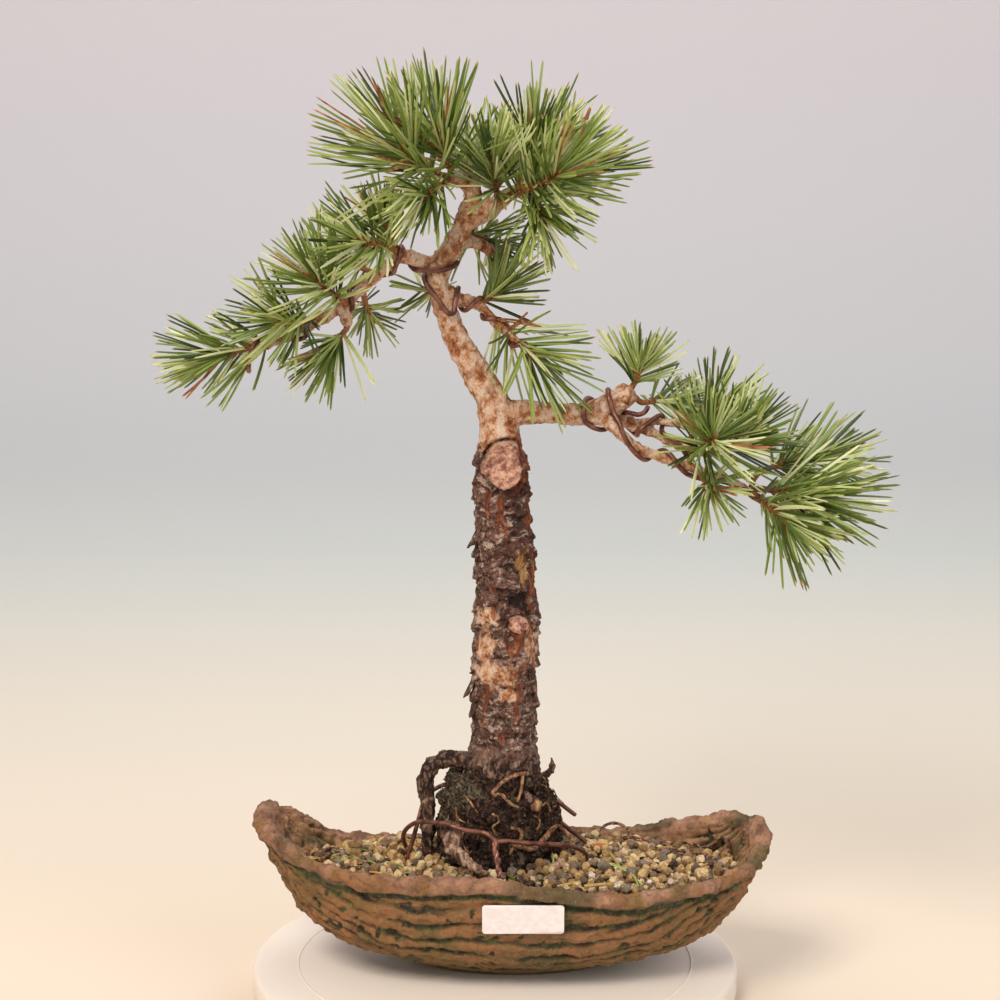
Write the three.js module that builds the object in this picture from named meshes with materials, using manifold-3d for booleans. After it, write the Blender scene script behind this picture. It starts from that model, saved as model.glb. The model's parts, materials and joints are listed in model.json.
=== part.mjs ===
// A pine bonsai in a boat-shaped stoneware pot. Millimetres, +Z up, +X to the viewer's right, -Y to the viewer.
// The origin is the centre of the pot's flat foot, on the surface that the pot stands on.
import * as THREE from 'three';
import { mergeVertices } from 'three/addons/utils/BufferGeometryUtils.js';
import Module from 'manifold-3d';

// ---------- driving dimensions ----------
const clearance = 0.3; // air left between pieces that touch

const potLength = 254;
const potWidth = 120;
const rimHeight = 46; // at its lowest, in the middle of the back
const wallThickness = 7;
const floorThickness = 8;
const footLength = 92;
const footWidth = 46;

const drainSpacing = 40; // between the two drainage holes
const drainRadius = 6;
const drainOffset = 8; // the holes lie behind the middle, so the foot's centre is solid
const grooveWidth = 9; // under the foot, for the wires that cross it
const grooveDepth = 3.2;
const screenSize = 17;
const screenThickness = 1;
const screenHole = 2.6;
const screenPitch = 4;
const stapleRadius = 0.6;

const soilLevel = 47.5; // at the pot's ends
const soilTilt = 2.5; // higher than that at the front, and lower at the back
const soilMound = 9; // extra at the middle
const rootBallX = -9;
const rootBallRadius = 29.5;
const rootBallTop = 103;
const rootBallDepth = 14; // below the soil's surface

const trunkRadius = 16;
const branchRadius = 5.8; // the right branch near the trunk; other branches go by it
const treeHeight = 345; // from the root ball's top to the highest needle
const drawnTreeHeight = 345; // the height at which the limbs' points were placed

const tieWireRadius = 1.1;
const trainingWireRadius = 1.2;
const labelLength = 39;
const labelHeight = 16;
const labelThickness = 0.4;
const labelPlace = 4.5; // right of the pot's middle

// ---------- materials ----------
function material(name, color, roughness, metalness = 0) {
  return new THREE.MeshStandardMaterial({ name, color, roughness, metalness });
}

const stoneware = material('stoneware', '#8c5f42', 0.8);
const soil = material('soil', '#b79c70', 0.95);
const rootMass = material('root_mass', '#2f2a1c', 0.95);
const bark = material('bark', '#7a5640', 0.9);
const needle = material('needle', '#5e8a3a', 0.6);
const copperWire = material('copper_wire', '#7a3b2e', 0.35, 1);
const plasticMesh = material('plastic_mesh', '#2b2b2b', 0.7);
const paper = material('paper', '#f4f3ef', 0.8);
const deadWood = material('dead_wood', '#8a6244', 0.9);

// ---------- geometry helpers ----------
const wasm = await Module();
wasm.setup();

function toSolid(geometry) {
  const bare = geometry.clone();
  bare.deleteAttribute('normal');
  bare.deleteAttribute('uv');
  const merged = mergeVertices(bare, 1e-4);
  return new wasm.Manifold(new wasm.Mesh({
    numProp: 3,
    vertProperties: new Float32Array(merged.attributes.position.array),
    triVerts: new Uint32Array(merged.index.array),
  }));
}

function toGeometry(solid) {
  const { vertProperties, triVerts } = solid.getMesh();
  const geometry = new THREE.BufferGeometry();
  geometry.setAttribute('position', new THREE.BufferAttribute(vertProperties, 3));
  geometry.setIndex(new THREE.BufferAttribute(triVerts, 1));
  geometry.computeVertexNormals();
  return geometry;
}

// The largest body of a cut solid: a crumb that the cut left loose is not a piece.
function mainBody(solid) {
  const bodies = solid.decompose();
  return bodies.reduce((largest, body) => (body.volume() > largest.volume() ? body : largest));
}

// Closed rings of equal length, joined in order into one skin and closed at both ends by a fan.
function loft(rings, firstPole, lastPole) {
  const sides = rings[0].length;
  const positions = [firstPole, ...rings.flat(), lastPole].flatMap((point) => point.toArray());
  const last = rings.length * sides + 1;
  const triangles = [];
  const corner = (ring, side) => 1 + ring * sides + (side % sides);
  for (let side = 0; side < sides; side += 1) {
    triangles.push(0, corner(0, side + 1), corner(0, side));
    triangles.push(last, corner(rings.length - 1, side), corner(rings.length - 1, side + 1));
    for (let ring = 0; ring + 1 < rings.length; ring += 1) {
      const [a, b] = [corner(ring, side), corner(ring, side + 1)];
      const [c, d] = [corner(ring + 1, side), corner(ring + 1, side + 1)];
      triangles.push(a, b, d, a, d, c);
    }
  }
  const geometry = new THREE.BufferGeometry();
  geometry.setAttribute('position', new THREE.Float32BufferAttribute(positions, 3));
  geometry.setIndex(triangles);
  return geometry;
}

// Limb points were placed at the drawn height; a taller or shorter tree stretches them above its base.
function atTreeHeight(z) {
  return z > rootBallTop ? rootBallTop + ((z - rootBallTop) * treeHeight) / drawnTreeHeight : z;
}

function smoothCurve(points) {
  return new THREE.CatmullRomCurve3(points, false, 'centripetal');
}

const limbSteps = 400; // frames along a limb, for the wires that lie on it

// A limb is a smooth curve through [x, y, z, share] points. Its radius there is that share of its thickness.
class Limb {
  constructor(thickness, points) {
    this.radii = points.map(([, , , share]) => share * thickness);
    this.curve = smoothCurve(points.map(([x, y, z]) => new THREE.Vector3(x, y, atTreeHeight(z))));
    this.line = this.frames(limbSteps);
  }

  radiusAt(t) {
    const place = Math.min(t, 1) * (this.radii.length - 1);
    const before = Math.min(Math.floor(place), this.radii.length - 2);
    return THREE.MathUtils.lerp(this.radii[before], this.radii[before + 1], place - before);
  }

  // Frames carried along the curve without twisting: centre, tangent and two normals at even steps of t.
  frames(steps) {
    const frames = [];
    let normal = new THREE.Vector3(0, -1, 0);
    for (let step = 0; step <= steps; step += 1) {
      const t = step / steps;
      const centre = this.curve.getPoint(t);
      const tangent = this.curve.getTangent(t);
      normal = normal.clone().addScaledVector(tangent, -normal.dot(tangent)).normalize();
      frames.push({ t, centre, tangent, normal, binormal: tangent.clone().cross(normal) });
    }
    return frames;
  }

  // The spot on the centre line that a place is nearest to, and how far off the bark the place is.
  nearest(place) {
    return this.line.reduce((closest, { t, centre }) => {
      const radius = this.radiusAt(t);
      const off = centre.distanceTo(place) - radius;
      return off < closest.off ? { centre, radius, off } : closest;
    }, { off: Infinity });
  }

  solid(sides, stepsPerSpan, extra = 0) {
    const frames = this.frames(stepsPerSpan * (this.radii.length - 1));
    const rings = frames.map(({ t, centre, normal, binormal }) => {
      const radius = this.radiusAt(t) + extra;
      return Array.from({ length: sides }, (_, side) => {
        const angle = (2 * Math.PI * side) / sides;
        return centre.clone()
          .addScaledVector(normal, radius * Math.cos(angle))
          .addScaledVector(binormal, radius * Math.sin(angle));
      });
    });
    const [first, last] = [frames[0], frames[frames.length - 1]];
    const roundOff = 0.4; // how far an end bulges, as a share of its radius
    const firstPole = first.centre.clone().addScaledVector(first.tangent, -roundOff * (this.radiusAt(0) + extra));
    const lastPole = last.centre.clone().addScaledVector(last.tangent, roundOff * (this.radiusAt(1) + extra));
    return toSolid(loft(rings, firstPole, lastPole));
  }
}

// A wire of round section along a curve.
function wireGeometry(curve, radius, stepLength, sides = 6) {
  const section = new THREE.Shape().absarc(0, 0, radius, 0, 2 * Math.PI);
  const steps = Math.ceil(curve.getLength() / stepLength);
  return new THREE.ExtrudeGeometry(section, {
    steps,
    curveSegments: sides / 2, // an arc is drawn with twice as many
    bevelEnabled: false,
    extrudePath: curve,
  });
}

// The route of a wire wound on a limb. A mark [t, turns] says how far round it is there, in turns from the
// viewer's side towards the top.
function woundPoints(limb, marks, wireRadius) {
  const pointsPerTurn = 12;
  return marks.slice(1).flatMap(([toT, toTurn], index) => {
    const [fromT, fromTurn] = marks[index];
    const count = Math.ceil(Math.abs(toTurn - fromTurn) * pointsPerTurn);
    return Array.from({ length: count }, (_, step) => {
      const share = (step + 1) / count;
      const t = THREE.MathUtils.lerp(fromT, toT, share);
      const angle = 2 * Math.PI * THREE.MathUtils.lerp(fromTurn, toTurn, share);
      const { centre, tangent, normal, binormal } = limb.line[Math.round(t * limbSteps)];
      const radius = limb.radiusAt(t) + wireRadius + clearance;
      return centre.clone()
        .addScaledVector(normal, radius * Math.cos(angle))
        .addScaledVector(binormal, -Math.sign(tangent.x) * radius * Math.sin(angle));
    });
  });
}

// ---------- pot ----------
// From the foot's edge (0, 0) to the rim (1, 1): how far the wall has spread, and how far it has climbed.
const wallProfile = [
  [0, 0], [0.25, 0.11], [0.5, 0.2], [0.64, 0.28], [0.76, 0.4], [0.84, 0.55], [0.91, 0.7], [0.97, 0.87], [1, 0.97],
];
const potSides = 40;

// How far the wavy rim stands over its lowest place, at even angles from the right end round by the back.
const rimWaves = [20, 22, 13, 4, 0, 0, 6, 27, 31, 25, 15, 14, 13, 5.5, 7, 11];
const rimLine = new THREE.CatmullRomCurve3(
  rimWaves.map((wave, index) => new THREE.Vector3(index, 0, wave)),
  true,
  'catmullrom',
);

function rimZ(angle) {
  return rimHeight + rimLine.getPoint(angle / (2 * Math.PI)).z;
}

function ovalRing(halfLength, halfWidth, heightAt) {
  return Array.from({ length: potSides }, (_, side) => {
    const angle = (2 * Math.PI * side) / potSides;
    return new THREE.Vector3(halfLength * Math.cos(angle), halfWidth * Math.sin(angle), heightAt(angle));
  });
}

// One ring of the wall, moved in from the outer face by inset and up at the bottom by lift.
function wallRing([spread, climb], inset, lift) {
  const halfLength = THREE.MathUtils.lerp(footLength, potLength, spread) / 2 - inset;
  const halfWidth = THREE.MathUtils.lerp(footWidth, potWidth, spread) / 2 - inset;
  return ovalRing(halfLength, halfWidth, (angle) => lift + (rimZ(angle) - lift) * climb);
}

// The inner face is a whole wall in from the outer one, but by the foot the floor reaches nearly to its edge.
function innerInset([, climb]) {
  return wallThickness * Math.min(1, 0.15 + 5 * climb);
}

function innerRing(place, gap) {
  return wallRing(place, innerInset(place) + gap, floorThickness + gap);
}

function makePot() {
  const roundOff = wallThickness / 4;
  const outer = wallProfile.map((place) => wallRing(place, 0, 0));
  const rim = [roundOff, wallThickness - roundOff].map((inset) => wallRing([1, 1], inset, 0));
  const inner = wallProfile.map((place) => innerRing(place, 0)).reverse();
  const bottom = new THREE.Vector3(0, 0, 0);
  const basin = new THREE.Vector3(0, 0, floorThickness);
  const body = toSolid(loft([...outer, ...rim, ...inner], bottom, basin));
  const holes = drainPlaces.map((x) => {
    const hole = new THREE.CylinderGeometry(drainRadius, drainRadius, 4 * floorThickness, 24);
    return toSolid(hole.rotateX(Math.PI / 2).translate(x, drainOffset, 0));
  });
  const grooveLength = drainSpacing + 4 * drainRadius;
  const groove = new THREE.BoxGeometry(grooveLength, grooveWidth, 2 * grooveDepth).translate(0, drainOffset, 0);
  return [...holes, toSolid(groove)].reduce((pot, cut) => pot.subtract(cut), body);
}

// The pot's inside up to its rim, clear of the wall.
function potInside() {
  const rings = wallProfile.map((place) => innerRing(place, clearance));
  const lid = new THREE.Vector3(0, 0, 2 * rimHeight);
  return toSolid(loft(rings, new THREE.Vector3(0, 0, floorThickness + clearance), lid));
}

// ---------- drainage screens and their staples ----------
const drainPlaces = [-drainSpacing / 2, drainSpacing / 2];
const screenBottom = floorThickness + clearance;
const screenTop = screenBottom + screenThickness;
const tieHoleRadius = tieWireRadius + 2 * clearance;
const stapleReach = drainRadius - stapleRadius - 2 * clearance; // from the hole's centre to a staple's leg
const tieShift = tieWireRadius + 2 * clearance; // the tie wire passes in front of the staple
const stapleShift = stapleRadius + 2 * clearance;

function makeScreen(x) {
  const plate = new THREE.BoxGeometry(screenSize, screenSize, screenThickness);
  const centreZ = screenBottom + screenThickness / 2;
  const rows = Math.floor((screenSize / 2 - screenHole) / screenPitch);
  const cuts = [];
  for (let row = -rows; row <= rows; row += 1) {
    for (let column = -rows; column <= rows; column += 1) {
      const hole = new THREE.BoxGeometry(screenHole, screenHole, 2 * screenThickness);
      cuts.push(hole.translate(x + column * screenPitch, drainOffset + row * screenPitch, centreZ));
    }
  }
  const passages = [
    [x, drainOffset - tieShift, tieHoleRadius],
    [x - stapleReach, drainOffset + stapleShift, stapleRadius + clearance],
    [x + stapleReach, drainOffset + stapleShift, stapleRadius + clearance],
  ];
  passages.forEach(([px, py, radius]) => {
    const passage = new THREE.CylinderGeometry(radius, radius, 2 * screenThickness, 10);
    cuts.push(passage.rotateX(Math.PI / 2).translate(px, py, centreZ));
  });
  const whole = toSolid(plate.translate(x, drainOffset, centreZ));
  return mainBody(cuts.map(toSolid).reduce((screen, cut) => screen.subtract(cut), whole));
}

function stapleCurve(x) {
  const y = drainOffset + stapleShift;
  const top = screenTop + stapleRadius + clearance;
  const bottom = grooveDepth - clearance - stapleRadius;
  const side = (sign) => [
    new THREE.Vector3(x + sign * (stapleReach + 5), y, bottom),
    new THREE.Vector3(x + sign * (stapleReach + 1), y, bottom),
    new THREE.Vector3(x + sign * stapleReach, y, bottom + 1),
    new THREE.Vector3(x + sign * stapleReach, y, top - 1),
    new THREE.Vector3(x + sign * (stapleReach - 1), y, top),
  ];
  return smoothCurve([...side(-1), ...side(1).reverse()]);
}

// ---------- tree ----------
const wood = {
  trunk: new Limb(trunkRadius, [
    [-5, 0, 82, 1.2], [-5, 0, 98, 1.14], [-5, 0, 113, 1.03], [-4.5, 0, 133, 1.01], [-4, 0, 159, 1.0],
    [-3.5, 0, 184, 0.94], [-4, 0, 209, 0.9], [-5.5, 0, 233, 0.85], [-6, 0, 248, 0.8], [-6.5, 0, 260, 0.7],
    [-7.5, 0, 272, 0.56], [-10, 0, 282, 0.5], [-17, 1, 294, 0.45], [-24.5, 2, 306, 0.4],
    [-30, 3, 318, 0.35], [-34.5, 4, 330, 0.33], [-36.5, 4, 340, 0.34], [-34.5, 4, 348, 0.34],
  ]),
  leader: new Limb(branchRadius, [
    [-36, 4, 342, 1.0], [-33, 4, 350, 0.94], [-29, 3, 355, 0.9], [-24.5, 3, 364, 0.86], [-21, 2, 373, 0.8],
    [-19, 1, 380, 0.78], [-21, -1, 386, 0.95], [-25, -3, 388, 0.75], [-31, -5, 389, 0.45],
  ]),
  leaderFork: new Limb(branchRadius, [
    [-23, 3, 367, 0.9], [-14, 2, 371.5, 0.85], [-6.5, 0, 377, 0.7], [0, -3, 382, 0.55], [4, -7, 384, 0.4],
  ]),
  prunedLeader: new Limb(branchRadius, [
    [0, -3, 381, 0.5], [10, -8, 385, 0.42], [20, -11, 389, 0.4], [23, -10, 398, 0.4], [28, -8, 409, 0.45],
  ]),
  rearStub: new Limb(branchRadius, [
    [-27, 4, 359, 0.7], [-18, 14, 356, 0.6], [-10, 20, 352, 0.6], [-5, 22, 351, 0.62],
  ]),
  leftBranch: new Limb(branchRadius, [
    [-34, 4, 345, 0.9], [-42, 1, 347.5, 0.66], [-49, -1, 351, 0.62], [-55, -2, 351, 0.56], [-61, -1, 345.5, 0.52],
    [-68, 1, 339, 0.48], [-75.5, 1, 332, 0.48], [-81, 0, 327.5, 0.5], [-90, 0, 321.5, 0.42],
    [-102, 0, 315, 0.38], [-113, -2, 310, 0.34], [-124, -3, 307, 0.26],
  ]),
  leftSpur: new Limb(branchRadius, [[-80, 0, 328, 0.5], [-80, 1, 322, 0.5], [-79.5, 2, 317, 0.4]]),
  innerBranch: new Limb(branchRadius, [
    [-34, 4, 334, 0.8], [-27, 6, 330, 0.64], [-20, 7, 328, 0.52], [-14, 7, 325, 0.42], [-8, 4, 318, 0.38],
    [1, -2, 311, 0.32], [7, -5, 306, 0.26],
  ]),
  rightBranch: new Limb(branchRadius, [
    [-6, 0, 275, 1.3], [4, 0, 276, 1.06], [12, 0, 276, 0.95], [20, 0, 275.5, 0.91], [32, 0, 275, 0.93],
    [41.5, 1, 277.5, 1.0], [50, 2, 281, 1.06], [56, 2, 286, 0.96],
  ]),
  lowerRight: new Limb(branchRadius, [
    [30, 0, 274, 0.7], [37, -2, 274, 0.66], [44, -5, 273, 0.6], [49, -6, 269, 0.52], [53, -7, 264.5, 0.46],
    [61, -7, 259, 0.42], [70, -6, 255.4, 0.42], [80, -5, 251.8, 0.43], [90, -4, 248.5, 0.43],
    [104, -2, 243, 0.4], [116, -2, 237, 0.36],
  ]),
  upperRight: new Limb(branchRadius, [
    [36, 2, 274, 0.8], [44, 5, 273.5, 0.7], [53.5, 7, 271, 0.62], [61, 6, 268, 0.55], [67, 5, 265.5, 0.45],
    [73, 4, 262.5, 0.42], [80.5, 4, 259, 0.4], [88, 3.5, 256, 0.38], [95, 1, 255, 0.3],
  ]),
  middleRight: new Limb(branchRadius, [
    [56, 6, 270, 0.5], [63, 7, 270, 0.38], [71, 7, 270.5, 0.34], [78, 6, 270.3, 0.34], [84, 6, 268, 0.32],
    [90, 5, 264.5, 0.28],
  ]),
  archRoot: new Limb(trunkRadius, [
    [-6, -3, 94, 0.5], [-16, -6, 100, 0.36], [-25, -7, 105, 0.3], [-33, -7, 106, 0.26], [-39.5, -7, 103, 0.25],
    [-43, -8, 96.5, 0.25], [-42.5, -9, 87, 0.23], [-42, -9, 77, 0.22], [-42, -9, 66, 0.2], [-41, -9, 50, 0.17],
  ]),
  frontRoot: new Limb(trunkRadius, [
    [-6, -4, 90, 0.4], [-22, -14, 80, 0.28], [-31, -22, 74, 0.23], [-29, -30, 67, 0.2], [-22, -36, 62, 0.15],
    [-12, -41, 57, 0.1],
  ]),
  rightRoot: new Limb(trunkRadius, [
    [-2, 2, 92, 0.5], [10, 5, 88, 0.38], [17, 4, 80, 0.3], [19.5, 0, 71, 0.28], [18, -3, 62, 0.22],
    [15, -5, 50, 0.16],
  ]),
  backRoot: new Limb(trunkRadius, [
    [-6, 3, 92, 0.5], [-12, 16, 86, 0.38], [-18, 27, 76, 0.3], [-21, 34, 64, 0.22], [-23, 38, 50, 0.16],
  ]),
  cutRoot: new Limb(trunkRadius, [[-2, -4, 92, 0.3], [6, -16, 89, 0.22], [12, -26, 87, 0.19]]),
  rightTwig: new Limb(trunkRadius, [[2, 0, 92, 0.3], [12, -4, 94, 0.16], [19, -6, 99, 0.1], [19, -6, 106, 0.07]]),
  largeScar: new Limb(trunkRadius, [[-5, 0, 252, 0.58], [-5, -12, 252.5, 0.62], [-5, -16.5, 252.7, 0.52]]),
  smallScar: new Limb(trunkRadius, [[0, -4, 174, 0.3], [1.5, -14, 174.5, 0.3], [1.8, -18, 174.8, 0.26]]),
};

const limbSides = { trunk: 14, leader: 9, leftBranch: 8, rightBranch: 9 };

function woodSolid(extra) {
  const limbs = Object.entries(wood).map(([name, limb]) => limb.solid(limbSides[name] ?? 7, 1, extra));
  return limbs.reduce((whole, limb) => whole.add(limb));
}

const ballSides = 24;

function rootBallSolid(extra) {
  const bottom = soilLevel + soilMound - rootBallDepth - extra;
  const profile = [[0.6, 0], [0.92, 0.12], [1, 0.3], [1, 0.5], [0.94, 0.7], [0.82, 0.86], [0.55, 0.97]];
  const rings = profile.map(([share, climb]) => Array.from({ length: ballSides }, (_, side) => {
    const angle = (2 * Math.PI * side) / ballSides;
    const lobes = 1 + 0.07 * Math.sin(3 * angle + 1 + 2 * climb) + 0.05 * Math.sin(5 * angle + 4 * climb);
    const radius = rootBallRadius * share * lobes + extra;
    const z = THREE.MathUtils.lerp(bottom, rootBallTop + extra, climb);
    return new THREE.Vector3(rootBallX + radius * Math.cos(angle), radius * Math.sin(angle), z);
  }));
  const lowest = new THREE.Vector3(rootBallX, 0, bottom);
  return toSolid(loft(rings, lowest, new THREE.Vector3(rootBallX, 0, rootBallTop + extra)));
}

// ---------- soil ----------
// The surface's height, at a share of the way out to the wall. Behind is 1 at the back and -1 at the front.
function soilHeight(share, behind) {
  return soilLevel - soilTilt * share * behind + soilMound * Math.cos((Math.PI / 2) * share) ** 1.5;
}

// Everything under the soil's mounded surface.
function groundSolid() {
  const [halfLength, halfWidth] = [potLength / 2, potWidth / 2];
  const wide = ovalRing(halfLength, halfWidth, () => 0);
  const tops = [1, 0.8, 0.6, 0.4, 0.2].map((share) => (
    ovalRing(share * halfLength, share * halfWidth, (angle) => soilHeight(share, Math.sin(angle)))
  ));
  return toSolid(loft([wide, ...tops], new THREE.Vector3(0, 0, 0), new THREE.Vector3(0, 0, soilHeight(0, 0))));
}

// ---------- wires ----------
function vectors(points) {
  return points.map(([x, y, z]) => new THREE.Vector3(x, y, z));
}

// The wire that holds the root ball down: from its twisted end round the left of the ball, down through
// the left drainage hole, under the foot, up the right hole and back to the twist.
function tieCurve() {
  const y = drainOffset - tieShift;
  const underFoot = grooveDepth - clearance - tieWireRadius;
  const [left, right] = drainPlaces;
  const lay = tieWireRadius + clearance;
  const twist = (phase) => Array.from({ length: 13 }, (_, step) => {
    const angle = phase + (step * Math.PI) / 3;
    const [along, drop] = [-42 - step * 0.9, 74 - step * 1.15];
    return new THREE.Vector3(-9 + 0.25 * step + lay * Math.cos(angle), along, drop + lay * Math.sin(angle));
  });
  const leftSide = vectors([
    [-13, -40, 78.5], [-17, -38, 78.5], [-24, -34, 78], [-33, -29, 79.5], [-41, -23, 78.5], [-48, -15, 75.5],
    [-54, -5, 67], [-53, 5, 56], [-46, 10, 45], [-33, y, 26],
  ]);
  const under = vectors([
    [left, y, 16], [left, y, 9], [left + 1, y, underFoot + 1.2], [left + 3.5, y, underFoot],
    [0, y, underFoot],
    [right - 3.5, y, underFoot], [right - 1, y, underFoot + 1.2], [right, y, 9], [right, y, 16],
  ]);
  const rightSide = vectors([
    [33, y, 26], [38, 2, 42], [37, -9, 56], [29, -20, 65], [16, -31, 70], [4, -38, 73], [-3, -40, 74.5],
  ]);
  return smoothCurve([...twist(0).reverse(), ...leftSide, ...under, ...rightSide, ...twist(Math.PI)]);
}

// A second wire holds the ball from behind: out of the soil on the left, round the back and in again.
const rearTieCurve = () => smoothCurve(vectors([
  [-54, -7, 48], [-50, -6, 62], [-46, -4, 76], [-44, 1, 82], [-38, 15, 84], [-27, 28, 83], [-9, 35, 80],
  [8, 30, 78], [18, 20, 72], [24.5, 11, 66.7], [36.3, 6, 58.7], [44, 3, 51],
]));

// Its spare end points away from the ball to the right.
const spareEndCurve = () => smoothCurve(vectors([
  [-8, 38, 81.5], [-2, 36, 86], [8, 28, 87], [13, 18, 85], [17.4, 12, 82.2], [24, 10, 77], [31.3, 8, 71.8],
]));

// Lays a wire's points on the bark of the limb that each is nearest to.
function onBark(points, wireRadius) {
  return points.map(([x, y, z]) => {
    const place = new THREE.Vector3(x, y, atTreeHeight(z));
    const spots = Object.values(wood).map((limb) => limb.nearest(place));
    const { centre, radius } = spots.reduce((closest, spot) => (spot.off < closest.off ? spot : closest));
    const away = place.sub(centre).normalize();
    return centre.clone().addScaledVector(away, radius + wireRadius + clearance);
  });
}

// One wire trains two branches: it is wound on the inner branch, crosses the trunk and goes on along the
// left branch.
function leftTrainingCurve() {
  const inner = woundPoints(wood.innerBranch, [[0.97, 3.25], [0.12, 0.25]], trainingWireRadius);
  const across = onBark([
    [-26.9, -1, 331.2], [-25, -4, 328.7], [-25.9, -5, 325.5], [-29.1, -5, 322.9], [-32.5, -6, 326.2],
    [-35.3, -6, 329.2], [-38.1, -6, 331.9], [-41.1, -4, 334.5], [-42.7, -2, 336.8], [-43.1, 0, 340.3],
    [-42, 8, 342], [-37, 12, 345], [-31, 12, 347], [-26.9, 9, 347], [-25.5, 4, 347], [-26.9, -1, 345.7],
    [-31.8, -4, 345], [-37.2, -4, 344], [-44.5, -4, 343.9], [-47.8, 0, 344.9], [-50.2, 4, 346.7],
    [-52, 6, 351], [-53, 3, 355.5], [-53.5, -2, 356], [-53, -6, 353.5], [-54, -7, 350], [-56.5, -5, 346.9],
  ], trainingWireRadius);
  const outer = woundPoints(wood.leftBranch, [
    [0.33, -0.15], [0.36, -0.3], [0.545, -0.75], [0.62, -1.25], [0.77, -1.75], [0.815, -2.25], [0.93, -2.7],
  ], trainingWireRadius);
  const roundNeedles = [
    [-117.5, -6, 314], [-122.5, -11, 311], [-124.6, -12, 305.7], [-126, -8, 299], [-126.4, -2, 296],
  ].map(([x, y, z]) => new THREE.Vector3(x, y, atTreeHeight(z)));
  return smoothCurve([...inner, ...across, ...outer, ...roundNeedles]);
}

function lowerRightTrainingCurve() {
  const loops = onBark([
    [41, 8, 271], [40, 7, 279], [37.3, 4, 281], [35.2, 0, 281.5], [33.4, -5, 278.2], [33.9, -6, 272.9],
    [38.1, -6, 268.4], [44.3, -2, 267.6], [48.5, 6, 273], [48, 8, 279], [46.5, 6, 285], [45, 1, 287],
    [45.8, -4, 283], [47.5, -5, 277], [50, -8, 272.5], [52, -11, 267.5], [56, -11, 260.5], [60.6, -9, 256],
  ], trainingWireRadius);
  const outer = woundPoints(wood.lowerRight, [
    [0.53, -0.2], [0.555, -0.3], [0.62, -0.75], [0.69, -1.0], [0.78, -1.22], [0.856, -1.3], [0.9, -1.45],
  ], trainingWireRadius);
  return smoothCurve([...loops, ...outer]);
}

function upperRightTrainingCurve() {
  const hook = [[64.6, -2, 279.5], [63.3, -3, 276.8], [60, -3.5, 275.2]]
    .map(([x, y, z]) => new THREE.Vector3(x, y, atTreeHeight(z)));
  const loops = onBark([
    [56.3, -1, 275], [52, 10, 272], [55, 12, 267], [59.5, 8, 263], [59, 2, 263], [60, -1, 266.5],
    [64.3, 0, 271], [69, 4, 274.5], [73, 9, 273], [72.5, 11, 268], [71, 6, 266.5], [72.5, 0, 265.5],
    [76.3, -1, 264], [80.7, -1, 260], [83.5, 2, 255.5], [87, 7, 254], [89.5, 7, 258],
  ], trainingWireRadius);
  return smoothCurve([...hook, ...loops]);
}

// ---------- needle tufts ----------
// Each tuft is a shoot with its needles, from [start] to [tip], and its needles reach and spread past the tip.
const tufts = {
  crown_left: [[-31, -4, 390], [-51, -14, 402], 48, 26],
  crown_up: [[-30, -6, 391], [-36, -12, 408], 43, 24],
  crown_hanging: [[-32, -8, 386], [-40, -24, 380], 26, 17],
  crown_back: [[-22, 6, 382], [-20, 32, 398], 34, 24],
  top_front: [[4, -12, 382], [19, -28, 392], 32, 26],
  top_middle: [[2, 4, 384], [12, 6, 406], 35, 26],
  top_right: [[15, -6, 385], [29, 2, 396], 36, 26],
  top_low: [[6, -6, 380], [14, -14, 370], 24, 18],
  top_inner: [[-7, -2, 378], [-10, -16, 398], 28, 20],
  top_back: [[4, 10, 383], [22, 42, 396], 32, 28],
  rear_low: [[-20, 12, 360], [-8, 32, 350], 24, 20],
  inner_upper: [[-16, 9, 328], [-6, 12, 336], 32, 20],
  inner_lower: [[5, -4, 308], [12, -8, 301], 32, 22],
  inner_left: [[-38, 14, 332], [-46, 28, 332], 14, 12],
  left_bud: [[-56, -4, 354], [-62, -9, 370], 22, 16],
  left_upper: [[-58, -8, 355], [-74, -20, 360], 28, 20],
  left_back: [[-68, 6, 342], [-90, 26, 351], 26, 18],
  left_front: [[-82, -8, 331], [-95, -20, 342], 32, 20],
  left_tip: [[-124, -3, 307], [-141, -4, 303], 28, 20],
  left_middle: [[-96, -6, 321], [-113, -18, 322], 28, 20],
  left_hanging: [[-79, 1, 317], [-87, -4, 306], 30, 20],
  left_rear: [[-70, 8, 332], [-68, 26, 317], 18, 14],
  right_crown: [[57, 2, 289], [61, 2, 300], 24, 26],
  right_bud: [[58, 5, 281], [78, 16, 278], 20, 14],
  right_star: [[88, -8, 258], [95, -27, 268], 28, 30],
  right_upper: [[86, 8, 261], [101, 24, 278], 25, 20],
  right_middle: [[96, 0, 257], [112, -5, 266], 28, 20],
  right_tip_upper: [[118, 6, 245], [154, 18, 250], 30, 22],
  right_tip: [[116, -2, 238], [144, -6, 236], 42, 20],
  right_lower: [[115, -7, 236], [132, -20, 224], 30, 20],
  right_hanging: [[90, -6, 246], [95, -18, 240], 20, 16],
  right_stub: [[122, 5, 232], [146, 14, 221], 18, 14],
};

function tuftPlace([[startX, startY, startZ], [tipX, tipY, tipZ], reach]) {
  const start = new THREE.Vector3(startX, startY, atTreeHeight(startZ));
  const tip = new THREE.Vector3(tipX, tipY, atTreeHeight(tipZ));
  const direction = tip.clone().sub(start).normalize();
  const length = tip.distanceTo(start) + reach;
  return { start, direction, length, middle: start.clone().addScaledVector(direction, 0.6 * length) };
}

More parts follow.
